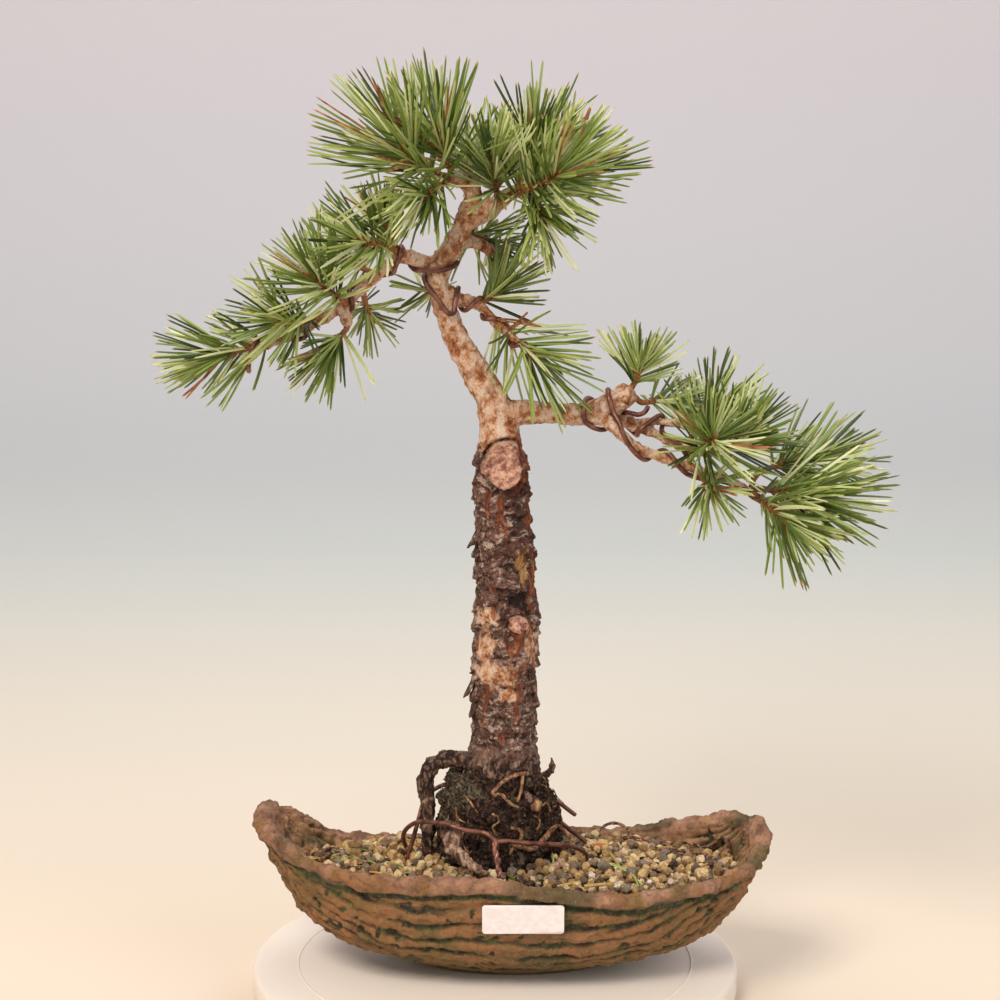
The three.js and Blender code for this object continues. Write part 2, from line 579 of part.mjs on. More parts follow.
// A plain closed envelope: narrow at the shoot's start, widest where the needles fan out, round at the end.
function tuftSolid(tuft) {
  const { start, direction, length } = tuftPlace(tuft);
  const spread = tuft[3];
  const profile = [[0, 0], [0.22, 0], [0.62, 0.3], [1, 0.62], [0.8, 0.86], [0.4, 0.97], [0, 1]];
  const outline = profile.map(([share, climb]) => new THREE.Vector2(share * spread, climb * length));
  const turn = new THREE.Quaternion().setFromUnitVectors(new THREE.Vector3(0, 1, 0), direction);
  const geometry = new THREE.LatheGeometry(outline, 8).applyQuaternion(turn);
  return toSolid(geometry.translate(start.x, start.y, start.z));
}

// Neighbouring tufts meet at the plane midway between them.
function trimToNeighbours(name, solid) {
  const own = tuftPlace(tufts[name]);
  return Object.entries(tufts).reduce((rest, [other, tuft]) => {
    if (other === name) return rest;
    const near = tuftPlace(tuft);
    const gap = near.middle.distanceTo(own.middle);
    if (gap > (own.length + near.length) / 2 + tufts[name][3] + tuft[3]) return rest;
    const away = own.middle.clone().sub(near.middle).divideScalar(gap);
    const border = near.middle.clone().add(own.middle).divideScalar(2).dot(away) + clearance / 2;
    return rest.trimByPlane(away.toArray(), border);
  }, solid);
}

// ---------- label and loose litter ----------
// A blank paper label stands flat against the middle of the pot's front, a little under the rim.
function makeLabel() {
  const frontSide = (3 * potSides) / 4;
  const [low, middle, high] = wallProfile.slice(-4, -1)
    .map((place) => wallRing(place, 0, 0)[frontSide]);
  const up = high.clone().sub(low).normalize();
  const outward = new THREE.Vector3(0, -up.z, up.y);
  const sheet = new THREE.BoxGeometry(labelLength, labelThickness, labelHeight);
  const turn = new THREE.Quaternion().setFromUnitVectors(new THREE.Vector3(0, -1, 0), outward);
  const place = middle.clone().addScaledVector(outward, labelThickness / 2 + clearance);
  return sheet.applyQuaternion(turn).translate(labelPlace, place.y, place.z);
}

function soilSurface(x, y) {
  const share = Math.hypot((2 * x) / potLength, (2 * y) / potWidth);
  return soilHeight(Math.min(1, share), (2 * y) / potWidth / share);
}

// A dead twig or root that lies on the soil, through [x, y, lift] points.
function litterGeometry({ radius, points }) {
  const places = points.map(([x, y, lift]) => {
    const z = soilSurface(x, y) + radius + 2 * clearance + lift;
    return new THREE.Vector3(x, y, z);
  });
  return wireGeometry(smoothCurve(places), radius, 4);
}

const litter = {
  dead_twig_right: { radius: 0.9, points: [[70, 6, 0], [80, 3, 1], [92, 4, 0.5], [101, -2, 0]] },
  dead_twig_rear: { radius: 0.7, points: [[78, 24, 0], [88, 20, 1.5], [98, 19, 0]] },
  dead_root_loop: { radius: 0.8, points: [[44, 30, 0], [46, 36, 5], [53, 38, 7], [59, 34, 4], [60, 28, 0]] },
  dead_twig_left: { radius: 0.7, points: [[-96, -6, 0], [-90, 4, 0.5], [-84, 10, 0]] },
};

// ---------- assembly ----------
const bonsai = new THREE.Group();
bonsai.name = 'pine_bonsai';

function addPiece(name, geometry, look) {
  const mesh = new THREE.Mesh(geometry, look);
  mesh.name = name;
  bonsai.add(mesh);
}

const wires = {
  tie_wire: { curve: tieCurve(), radius: tieWireRadius, stepLength: 4 },
  tie_wire_rear: { curve: rearTieCurve(), radius: tieWireRadius, stepLength: 4 },
  tie_wire_end: { curve: spareEndCurve(), radius: tieWireRadius, stepLength: 4 },
  training_wire_left: { curve: leftTrainingCurve(), radius: trainingWireRadius, stepLength: 3.8 },
  training_wire_lower_right: { curve: lowerRightTrainingCurve(), radius: trainingWireRadius, stepLength: 3.8 },
  training_wire_upper_right: { curve: upperRightTrainingCurve(), radius: trainingWireRadius, stepLength: 3.8 },
};
const wireSpaces = Object.values(wires).map(({ curve, radius, stepLength }) => (
  toSolid(wireGeometry(curve, radius + clearance, stepLength))
));
const tieSpaces = wireSpaces.slice(0, 3);
const staples = drainPlaces.map((x) => stapleCurve(x));
const without = (solid, cuts) => mainBody(cuts.reduce((rest, cut) => rest.subtract(cut), solid));

// Bark is nipped where a wire presses it, roots run through the ball, and soil fills what is left of the pot.
const woodPiece = without(woodSolid(0), wireSpaces);
const woodSpace = woodSolid(clearance);

addPiece('pot', toGeometry(makePot()), stoneware);
drainPlaces.forEach((x, index) => {
  const side = ['left', 'right'][index];
  addPiece(`drain_screen_${side}`, toGeometry(makeScreen(x)), plasticMesh);
  addPiece(`screen_staple_${side}`, wireGeometry(staples[index], stapleRadius, 2), copperWire);
});
addPiece('tree_wood', toGeometry(woodPiece), bark);
addPiece('root_ball', toGeometry(without(rootBallSolid(0), [woodSpace, ...tieSpaces])), rootMass);

const screenSpace = drainPlaces.map((x) => {
  const [side, height] = [screenSize + 2 * clearance, screenTop + 2 * stapleRadius + 3 * clearance];
  return toSolid(new THREE.BoxGeometry(side, side, height).translate(x, drainOffset, height / 2));
});
const soilPiece = potInside().intersect(groundSolid());
const soilCuts = [rootBallSolid(clearance), woodSpace, ...tieSpaces, ...screenSpace];
addPiece('soil', toGeometry(without(soilPiece, soilCuts)), soil);

Object.entries(wires).forEach(([name, { curve, radius, stepLength }]) => {
  addPiece(name, wireGeometry(curve, radius, stepLength), copperWire);
});

Object.entries(tufts).forEach(([name, tuft]) => {
  const envelope = trimToNeighbours(name, tuftSolid(tuft));
  addPiece(`needles_${name}`, toGeometry(without(envelope, [woodSpace, ...wireSpaces])), needle);
});

addPiece('label', makeLabel(), paper);
Object.entries(litter).forEach(([name, piece]) => addPiece(name, litterGeometry(piece), deadWood));

export default bonsai;
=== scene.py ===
# A pine bonsai in a boat-shaped stoneware pot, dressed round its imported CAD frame.
# Blender works in metres. Sizes of the bonsai's own pieces are in mm.
# Those of the camera, the stage and the lights are in metres.
import json
import math
import bpy
import numpy as np
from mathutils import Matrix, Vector, kdtree, noise
from mathutils.bvhtree import BVHTree

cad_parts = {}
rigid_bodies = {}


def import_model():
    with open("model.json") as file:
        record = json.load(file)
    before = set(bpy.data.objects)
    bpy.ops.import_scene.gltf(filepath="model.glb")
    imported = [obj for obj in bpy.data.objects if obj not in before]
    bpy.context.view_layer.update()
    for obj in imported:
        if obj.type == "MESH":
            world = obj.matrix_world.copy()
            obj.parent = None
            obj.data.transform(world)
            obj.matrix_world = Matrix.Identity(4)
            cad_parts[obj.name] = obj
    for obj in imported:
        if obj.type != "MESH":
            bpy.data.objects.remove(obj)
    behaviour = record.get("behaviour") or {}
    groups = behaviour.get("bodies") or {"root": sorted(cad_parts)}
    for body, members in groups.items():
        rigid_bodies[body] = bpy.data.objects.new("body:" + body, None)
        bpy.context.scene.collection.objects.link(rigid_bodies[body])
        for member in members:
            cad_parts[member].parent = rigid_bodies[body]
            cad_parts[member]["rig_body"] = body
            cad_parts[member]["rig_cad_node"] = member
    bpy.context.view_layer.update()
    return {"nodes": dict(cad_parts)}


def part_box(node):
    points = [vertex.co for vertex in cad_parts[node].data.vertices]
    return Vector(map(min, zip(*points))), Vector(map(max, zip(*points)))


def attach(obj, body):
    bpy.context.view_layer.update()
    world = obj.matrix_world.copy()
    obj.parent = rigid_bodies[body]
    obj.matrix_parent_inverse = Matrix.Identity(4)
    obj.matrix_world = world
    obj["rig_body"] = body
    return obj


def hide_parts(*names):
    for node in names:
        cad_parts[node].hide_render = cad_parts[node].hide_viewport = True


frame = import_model()
nodes = frame["nodes"]
chance = np.random.default_rng(27)
mm = 0.001

camera = {"place": (-0.0065, -1.21365, 0.46588), "tilt": 79.15, "lens": 92.1, "sensor": 36}
bpy.ops.object.camera_add(location=camera["place"], rotation=(math.radians(camera["tilt"]), 0, 0))
bpy.context.object.data.lens = camera["lens"]
bpy.context.object.data.sensor_width = camera["sensor"]
bpy.context.scene.camera = bpy.context.object
bpy.context.scene.view_settings.view_transform = "Standard"


# ---------- tools for shapes ----------
def pick(*pieces):
    bpy.ops.object.select_all(action="DESELECT")
    for piece in pieces:
        piece.select_set(True)
    bpy.context.view_layer.objects.active = pieces[-1]


def applyModifier(piece, kind, **settings):
    pick(piece)
    modifier = piece.modifiers.new(kind.title(), kind)
    for name, value in settings.items():
        setattr(modifier, name, value)
    bpy.ops.object.modifier_apply(modifier=modifier.name)


def copyOfNode(node, name):
    pick(nodes[node])
    bpy.ops.object.duplicate()
    piece = bpy.context.object
    piece.name = name
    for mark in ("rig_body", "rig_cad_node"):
        del piece[mark]
    piece.parent = None
    piece.data.materials.clear()
    bpy.ops.object.mode_set(mode="EDIT")
    bpy.ops.mesh.select_all(action="SELECT")
    bpy.ops.mesh.remove_doubles(threshold=1e-6)
    bpy.ops.object.mode_set(mode="OBJECT")
    return piece


def remeshed(node, name, voxel, smoothing):
    piece = copyOfNode(node, name)
    applyModifier(piece, "REMESH", mode="VOXEL", voxel_size=voxel * mm)
    applyModifier(piece, "SMOOTH", factor=0.5, iterations=smoothing)
    return piece


def readPoints(piece):  # vertex places in mm and their normals
    places = np.empty(len(piece.data.vertices) * 3)
    piece.data.vertices.foreach_get("co", places)
    normals = np.empty(len(piece.data.vertices) * 3)
    piece.data.vertex_normals.foreach_get("vector", normals)
    return places.reshape(-1, 3) / mm, normals.reshape(-1, 3)


def writePoints(piece, places):
    piece.data.vertices.foreach_set("co", (places * mm).ravel())
    piece.data.update()


def setAttribute(piece, name, values):
    attribute = piece.data.attributes.new(name, "FLOAT", "POINT")
    attribute.data.foreach_set("value", np.asarray(values, dtype=np.float32))


def smooth(low, high, value):
    share = np.clip((value - low) / (high - low), 0, 1)
    return share * share * (3 - 2 * share)


def wobble(places, size, seed=0, detail=3):  # fractal noise from -1 to 1, with features of a size in mm
    moved = places / size + seed * 7.31
    return np.array([noise.fractal(Vector(p), 0.9, 2.1, detail, noise_basis="PERLIN_ORIGINAL") for p in moved])


def cells(places, seeds, stretch):  # the nearest seed, and how much further off the next one is
    tree = kdtree.KDTree(len(seeds))
    for index, seed in enumerate(seeds * stretch):
        tree.insert(seed, index)
    tree.balance()
    nearest = [tree.find_n(p, 2) for p in places * stretch]
    own = np.array([pair[0][1] for pair in nearest])
    return own, np.array([pair[1][2] - pair[0][2] for pair in nearest])


def spaced(places, gap):  # a random choice of places that stand at least a gap apart
    chosen = np.empty((0, places.shape[1]))
    for place in chance.permutation(places):
        if not len(chosen) or np.min(np.sum((chosen - place) ** 2, axis=1)) > gap * gap:
            chosen = np.vstack([chosen, place])
    return chosen


def searchTree(node):  # finds where a line meets a CAD node, and its nearest point
    mesh = nodes[node].data
    return BVHTree.FromPolygons([v.co for v in mesh.vertices], [tuple(p.vertices) for p in mesh.polygons])


woodTree, ballTree, soilTree = searchTree("tree_wood"), searchTree("root_ball"), searchTree("soil")


def finish(piece, materials, replaced=(), angle=None):
    pick(piece)
    if angle is None:
        bpy.ops.object.shade_smooth()
    else:
        bpy.ops.object.shade_smooth_by_angle(angle=math.radians(angle))
    if materials:
        piece.data.materials.clear()
        for material in materials:
            piece.data.materials.append(material)
    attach(piece, "root")
    if replaced:
        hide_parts(*replaced)
    print("made", piece.name, len(piece.data.polygons), "faces")
    return piece


# ---------- tools for copies ----------
def template(piece):  # what copyAt needs of a shape that is modelled once, which then goes
    piece.data.calc_loop_triangles()
    shape = (np.array([v.co for v in piece.data.vertices]), [tuple(p.vertices) for p in piece.data.polygons])
    bpy.data.objects.remove(piece)
    return shape


def copyAt(name, shape, origins, axes, sizes, bends=None, tones=None):
    # Each copy has its own mesh: scaled, bent along its X by the square of its Z, turned and put in its place.
    points, faces = shape
    count = len(origins)
    local = points[None] * np.asarray(sizes)[:, None, :]
    if bends is not None:
        local[:, :, 0] += np.asarray(bends)[:, None] * points[None, :, 2] ** 2
    world = np.asarray(origins)[:, None, :] + np.einsum("nij,nkj->nki", axes, local)
    mesh = bpy.data.meshes.new(name)
    step = len(points)
    mesh.from_pydata(
        (world.reshape(-1, 3) * mm).tolist(), [],
        [tuple(i + copy * step for i in face) for copy in range(count) for face in faces],
    )
    piece = bpy.data.objects.new(name, mesh)
    bpy.context.scene.collection.objects.link(piece)
    setAttribute(piece, "along", np.tile(points[:, 2], count))
    setAttribute(piece, "tone", np.repeat(chance.random(count) if tones is None else tones, step))
    return piece


def unit(vectors):
    return vectors / np.maximum(np.linalg.norm(vectors, axis=-1, keepdims=True), 1e-9)


def across(vectors, aim):  # the part of each vector that lies square to its aim, one unit long
    return unit(vectors - aim * np.sum(vectors * aim, axis=1, keepdims=True))


def framesAlong(directions, spin):  # axes whose Z lies along each direction, turned about it by an angle
    directions = unit(directions)
    helper = np.where(np.abs(directions[:, 2:]) < 0.9, [[0.0, 0.0, 1.0]], [[1.0, 0.0, 0.0]])
    side = unit(np.cross(helper, directions))
    other = np.cross(directions, side)
    first = side * np.cos(spin)[:, None] + other * np.sin(spin)[:, None]
    return np.stack([first, np.cross(directions, first), directions], axis=2)


def tubes(name, routes, sides=2, steps=5):  # smooth tubes through [x, y, z, radius] points in mm
    curve = bpy.data.curves.new(name, "CURVE")
    curve.dimensions = "3D"
    curve.resolution_u = steps
    curve.bevel_depth = mm
    curve.bevel_resolution = sides
    curve.use_fill_caps = True
    for route in routes:
        spline = curve.splines.new("BEZIER")
        spline.bezier_points.add(len(route) - 1)
        for point, (x, y, z, radius) in zip(spline.bezier_points, route):
            point.co = (x * mm, y * mm, z * mm)
            point.radius = radius
            point.handle_left_type = point.handle_right_type = "AUTO"
    piece = bpy.data.objects.new(name, curve)
    bpy.context.scene.collection.objects.link(piece)
    pick(piece)
    bpy.ops.object.convert(target="MESH")
    piece = bpy.context.object
    bpy.ops.object.mode_set(mode="EDIT")
    bpy.ops.mesh.select_all(action="SELECT")
    bpy.ops.mesh.remove_doubles(threshold=1e-6)
    bpy.ops.mesh.normals_make_consistent(inside=False)
    bpy.ops.object.mode_set(mode="OBJECT")
    return piece


def joined(name, *pieces):
    pick(*pieces)
    bpy.ops.object.join()
    piece = bpy.context.object
    piece.name = name
    return piece


# ---------- tools for materials ----------
def linear(code):
    channels = [int(code[i:i + 2], 16) / 255 for i in (1, 3, 5)]
    return (*[c / 12.92 if c <= 0.04045 else ((c + 0.055) / 1.055) ** 2.4 for c in channels], 1)


def addNode(tree, kind, settings, inputs=None):
    # Settings are the node's own fields or its sockets. An input is a socket to link, a colour or a number.
    node = tree.nodes.new("ShaderNode" + kind)
    for key, value in settings.items():
        if key == "stops":
            for index, (place, code) in enumerate(value):
                ramp = node.color_ramp.elements
                stop = ramp[index] if index < 2 else ramp.new(place)
                stop.position, stop.color = place, linear(code)
        elif hasattr(node, key):
            setattr(node, key, value)
        else:
            node.inputs[key].default_value = value
    for socket, value in (inputs or {}).items():
        if isinstance(value, bpy.types.NodeSocket):
            tree.links.new(value, node.inputs[socket])
        else:
            node.inputs[socket].default_value = linear(value) if isinstance(value, str) else value
    return node


def fieldOf(tree, spot, field):
    # What a colour goes by: a mesh attribute's name, or a texture with its size in mm, noise if not said.
    if isinstance(field, str):
        return addNode(tree, "Attribute", {"attribute_name": field}).outputs["Fac"]
    rest = {"kind": "TexNoise", "stretch": (1, 1, 1), "output": 0, **field}
    kind, stretch, output, size = (rest.pop(key) for key in ("kind", "stretch", "output", "size"))
    place = addNode(tree, "Mapping", {"Scale": stretch}, {"Vector": spot}).outputs[0]
    return addNode(tree, kind, {"Scale": 1 / (size * mm), **rest}, {"Vector": place}).outputs[output]


def colourOf(tree, spot, colour):  # a colour code, or a field followed by the stops that it runs through
    if isinstance(colour, str):
        return colour
    field, *stops = colour
    return addNode(tree, "ValToRGB", {"stops": stops}, {0: fieldOf(tree, spot, field)}).outputs[0]


def makeMaterial(name, colour, layers=(), relief=None, warp=0.0, **sockets):
    # A layer covers what is under it where its field rises from one value to another: field, low, high, cover,
    # colour. Relief is a list of fields, each with its depth in mm. Warp bends every texture by that many mm.
    material = bpy.data.materials.new(name)
    material.use_nodes = True
    tree = material.node_tree
    shader = tree.nodes["Principled BSDF"]
    for socket, value in sockets.items():
        shader.inputs[socket.replace("_", " ")].default_value = value
    spot = addNode(tree, "TexCoord", {}).outputs["Object"]
    if warp:
        bend = addNode(tree, "TexNoise", {"Scale": 1 / (4 * warp * mm), "Detail": 3.0}, {"Vector": spot})
        spot = addNode(
            tree, "VectorMath", {"operation": "MULTIPLY_ADD"},
            {0: bend.outputs[1], 1: (4 * warp * mm,) * 3, 2: spot},
        ).outputs[0]
    skin = colourOf(tree, spot, colour)
    for field, low, high, cover, over in layers:
        rise = {0: fieldOf(tree, spot, field), 1: low, 2: high, 4: cover}
        mask = addNode(tree, "MapRange", {}, rise).outputs[0]
        sides = {0: mask, 6: skin, 7: colourOf(tree, spot, over)}
        skin = addNode(tree, "Mix", {"data_type": "RGBA"}, sides).outputs[2]
    if isinstance(skin, str):
        shader.inputs["Base Color"].default_value = linear(skin)
    else:
        tree.links.new(skin, shader.inputs["Base Color"])
    slope = None
    for field, depth in relief or ():
        under = {"Normal": slope} if slope else {}
        height = {"Height": fieldOf(tree, spot, field), "Distance": depth * mm, **under}
        slope = addNode(tree, "Bump", {}, height).outputs[0]
        tree.links.new(slope, shader.inputs["Normal"])
    return material


# Unglazed stoneware, combed like bark, rubbed with iron slip and green ash: matt and gritty. Dark in the cuts
# and under the lip, partly the slip and ash in them and partly painted shade; the lip is lighter, partly a
# painted highlight on its upward faces.
stoneware = makeMaterial(
    "combed unglazed stoneware",
    [{"size": 22, "Detail": 4.0}, (0.36, "#A87346"), (0.62, "#886838")],
    [
        ({"size": 8, "Detail": 4.0}, 0.46, 0.68, 0.75, "#A87048"),
        ("low", 0.2, 1.0, 0.7, "#7C6430"), ("inside", 0.1, 0.9, 0.9, "#BC8A60"),
        # The rim mark: a lighter lip, with a painted highlight on its upward faces.
        ("rim", 0.1, 0.9, 1.0, [{"size": 9, "Detail": 5.0}, (0.38, "#84583F"), (0.62, "#BE8C6E")]),
        ({"size": 2.4, "Detail": 5.0}, 0.52, 0.72, 0.6, "#4F3423"),
        # The groove mark: painted shade in the cuts, the pits and the cut under the lip, over the slip and
        # green ash that lie in them.
        ("groove", 0.2, 0.7, 0.95, [
            {"size": 6, "Detail": 5.0}, (0.38, "#1F1811"), (0.5, "#343A1E"), (0.66, "#56602F")]),
        ({"size": 17, "Detail": 4.0, "stretch": (0.5, 1, 1)}, 0.54, 0.66, 0.7, "#474A28"),
        ({"size": 1.5, "Detail": 4.0}, 0.6, 0.68, 0.55, "#8E8A62"),
    ],
    [({"size": 4.5, "Detail": 7.0, "Roughness": 0.75}, 2.2), ({"size": 0.9, "Detail": 4.0}, 0.5)],
    warp=0.8, Roughness=0.68, IOR=1.5,
)

# Graded volcanic gravel and baked clay grains: dry, chalky, each grain its own shade.
gravel = makeMaterial(
    "dry volcanic gravel",
    ["tone", (0, "#241510"), (0.14, "#4A372A"), (0.26, "#857A6A"), (0.36, "#7A5C38"), (0.5, "#B28C58"),
     (0.64, "#D0AE76"), (0.8, "#E4CC9C"), (0.9, "#BC9478"), (1, "#EDE3D0")],
    [
        ({"size": 2.2, "Detail": 5.0, "Roughness": 0.7}, 0.48, 0.62, 0.7, "#6A4628"),
        ({"size": 0.7, "Detail": 3.0}, 0.6, 0.7, 0.4, "#E6D6B0"),
    ],
    [({"size": 1.3, "Detail": 5.0, "Roughness": 0.7}, 0.7)],
    Roughness=0.9, IOR=1.45,
)

# Damp soil under the gravel, near black: its own dark colour and painted shade in the gaps between the grains.
soilWithGapShade = makeMaterial(
    "damp clay soil with painted gap shade", [{"size": 2}, (0.35, "#19110B"), (0.65, "#3E2D1C")],
    relief=[({"size": 1.2, "Detail": 4.0}, 0.6)], Roughness=1.0, IOR=1.4,
)

# Root mat with peat, moss and pumice crumbs: near black, with brown fibres and a few olive cushions.
rootMat = makeMaterial(
    "peaty root mat with moss",
    [{"size": 1.7, "Detail": 6.0, "Roughness": 0.75},
     (0.38, "#090402"), (0.49, "#23130C"), (0.57, "#54392A"), (0.67, "#8E7058")],
    [
        ({"size": 2.6, "Detail": 3.0, "stretch": (1, 1, 0.3)}, 0.56, 0.66, 0.7, "#6A4D3A"),
        ("moss", 0.3, 1.0, 0.75, [
            {"size": 2.0, "Detail": 6.0, "Roughness": 0.75},
            (0.38, "#120D08"), (0.5, "#4C4230"), (0.6, "#988C70")]),
        ({"size": 1.0, "Detail": 2.0}, 0.68, 0.73, 0.75, "#9C8A70"),
    ],
    [({"size": 2.2, "Detail": 6.0, "Roughness": 0.75}, 2.0), ({"size": 0.7, "Detail": 4.0}, 0.5)],
    warp=1.0, Roughness=0.95, IOR=1.4,
)

# Pine bark: grey corky plates over red-orange inner bark, tan and scaly on young wood. The cracks and plate
# edges are near black, partly the fissures' own colour and partly painted shade in the fissures, under the
# plates' lower edges and in the scars' grooves.
plateEdge = {"kind": "TexVoronoi", "size": 3.6, "feature": "DISTANCE_TO_EDGE", "stretch": (1, 1, 0.85)}
plateTone = {"kind": "TexVoronoi", "size": 3.6, "output": 1, "stretch": (1, 1, 0.85)}
youngEdge = {"kind": "TexVoronoi", "size": 2.3, "feature": "DISTANCE_TO_EDGE", "stretch": (1, 1, 0.7)}
bark = makeMaterial(
    "flaking pine bark",
    ["plate", (0.1, "#3C2018"), (0.4, "#644134"), (0.65, "#8E6A5A"), (0.9, "#BC9C8A")],
    [
        (plateTone, 0.35, 0.75, 0.45, "#4E3026"),
        ({"size": 4.2, "Detail": 6.0, "Roughness": 0.65, "stretch": (0.7, 0.7, 1.2)},
         0.52, 0.62, 0.9, "#CBB09E"),
        ({"size": 2.0, "Detail": 6.0, "Roughness": 0.75, "stretch": (0.6, 0.6, 1.3)},
         0.5, 0.58, 0.85, "#26120C"),
        # Dark lines at the plates' edges: the fissures' colour with painted shade in them.
        (plateEdge, 0.05, 0.01, 0.7, "#2A1610"),
        ("youngBark", 0.05, 0.95, 0.95, [
            {"size": 4.5, "Detail": 6.0, "Roughness": 0.7, "stretch": (1, 1, 0.7)},
            (0.34, "#7A3C1C"), (0.43, "#B0744A"), (0.5, "#D8AA86"), (0.6, "#E8CFBA"), (0.72, "#C9A890")]),
        # Dark lines between young scales, and the crack mark below: near-black fissures, partly painted shade
        # in recesses and under the plates' lower edges.
        (youngEdge, 0.03, 0.0, 0.6, "#4A2818"),
        ("crack", 0.35, 0.9, 0.92, "#1E0F0B"),
        ("redBark", 0.1, 0.9, 0.9, [
            {"size": 2.4, "Detail": 5.0, "stretch": (1, 1, 0.3)},
            (0.36, "#4E1F10"), (0.52, "#80401F"), (0.68, "#B5744A")]),
        ("cutWood", 0.1, 0.9, 1.0, [
            {"size": 3.4, "Detail": 6.0, "Roughness": 0.7},
            (0.38, "#74473F"), (0.46, "#A87464"), (0.54, "#CF9F84"), (0.64, "#E0B59A")]),
        ("bareWood", 0.1, 0.9, 1.0, [
            {"size": 1.8, "Detail": 4.0, "stretch": (1, 1, 0.12)},
            (0.36, "#6E452A"), (0.55, "#B08350"), (0.7, "#D9BC84")]),
        ("rootBark", 0.1, 0.9, 1.0, [
            {"size": 2.2, "Detail": 6.0, "Roughness": 0.7, "stretch": (1, 1, 0.4)},
            (0.39, "#150A06"), (0.5, "#40281E"), (0.61, "#8E6F5E")]),
        ("paleRoot", 0.1, 0.9, 1.0, [
            {"size": 2.0, "Detail": 6.0, "stretch": (1, 1, 0.3)},
            (0.36, "#4A3024"), (0.48, "#997660"), (0.62, "#CFB098")]),
    ],
    [(plateEdge, 0.5), ({"size": 2.0, "Detail": 7.0, "Roughness": 0.75, "stretch": (1, 1, 0.6)}, 1.3)],
    warp=2.2, Roughness=0.86, IOR=1.45,
)

# Young shoot bark and papery bud scales: orange-brown, satin.
shootBark = makeMaterial(
    "scaly shoot bark", ["tone", (0.1, "#B5763F"), (0.5, "#97602F"), (0.9, "#6B3A1C")],
    [
        ({"size": 1.3, "Detail": 4.0}, 0.45, 0.62, 0.75, "#5A2F19"),
        ({"size": 0.8, "Detail": 3.0}, 0.58, 0.68, 0.6, "#D09A62"),
    ],
    [({"size": 1.0, "Detail": 4.0}, 0.6)], Roughness=0.6, IOR=1.45,
)

# Live pine needles: waxy, yellow-green, paler at the sheath and straw-tipped. A few are dead and brown.
needleSkin = makeMaterial(
    "waxy pine needle",
    ["tone", (0, "#364716"), (0.3, "#61752E"), (0.55, "#8A9C4A"), (0.8, "#B8C27A"), (1, "#D4D8A6")],
    [
        ("along", 0.16, 0.0, 0.7, "#B2B06C"), ("along", 0.93, 1.0, 0.8, "#B98F4A"),
        ("tone", -0.2, -0.6, 1.0, [{"size": 5}, (0.4, "#7A4428"), (0.6, "#B57A4C")]),
    ],
    Roughness=0.4, IOR=1.45,
)

# Dead needles, straw and bud scales on the soil: dry, matt, orange to straw-coloured.
dryLeaf = makeMaterial(
    "dead pine needle", ["tone", (0, "#6A3F24"), (0.4, "#A4633A"), (0.7, "#C79A62"), (1, "#7F8B45")],
    [({"size": 1.5}, 0.45, 0.7, 0.5, "#4A2E1C")], Roughness=0.8, IOR=1.4,
)

# Annealed copper wire, weathered to a red-brown skin that still shines along its length.
copper = makeMaterial(
    "weathered annealed copper wire", [{"size": 5, "Detail": 4.0}, (0.38, "#55302A"), (0.6, "#8E5E4C")],
    [({"size": 1.5, "Detail": 4.0}, 0.56, 0.7, 0.5, "#40241C")], [({"size": 1.2, "Detail": 4.0}, 0.06)],
    Metallic=0.6, Roughness=0.4,
)

# Moulded polyethylene mesh: black, slightly waxy.
plasticMesh = makeMaterial(
    "moulded polyethylene mesh", [{"size": 4}, (0.4, "#1D1D1C"), (0.6, "#35342F")], Roughness=0.5, IOR=1.5,
)

# Coated label paper: white, faintly warm.
paper = makeMaterial(
    "coated label paper", [{"size": 3, "Detail": 5.0}, (0.4, "#F7F0F0"), (0.6, "#EFE6E4")],
    relief=[({"size": 0.4, "Detail": 4.0}, 0.03)], Roughness=0.55, IOR=1.5,
)

# Dead roots and twigs: dry brown wood with a lighter weathered skin.
deadWood = makeMaterial(
    "dry dead root wood",
    [{"size": 1.6, "Detail": 5.0}, (0.38, "#2E1A12"), (0.5, "#6B4630"), (0.64, "#A68060")],
    relief=[({"size": 1.0, "Detail": 4.0}, 0.5)], Roughness=0.85, IOR=1.45,
)

# Living root skin: tan and pale where it has dried, brown in its wrinkles.
paleRoot = makeMaterial(
    "dry root skin",
    [{"size": 2.4, "Detail": 5.0, "Roughness": 0.7}, (0.38, "#3E2417"), (0.5, "#80583A"), (0.62, "#B48C66")],
    relief=[({"size": 1.2, "Detail": 5.0}, 0.5)], Roughness=0.8, IOR=1.45,
)
print("materials ready")

# ---------- pot ----------
potLook = {
    "voxel": 1.15, "smoothing": 4, "axisHeight": 86, "ridges": 17, "cutDepth": 2.3, "lipHeight": 8.5,
    "lipBulge": 1.4,
    # Distance from the middle and height of the keel.
    "keel": [(46, 0), (60, 6), (78, 12), (92, 20), (104, 31), (114, 42), (122, 54), (127, 60)],
}


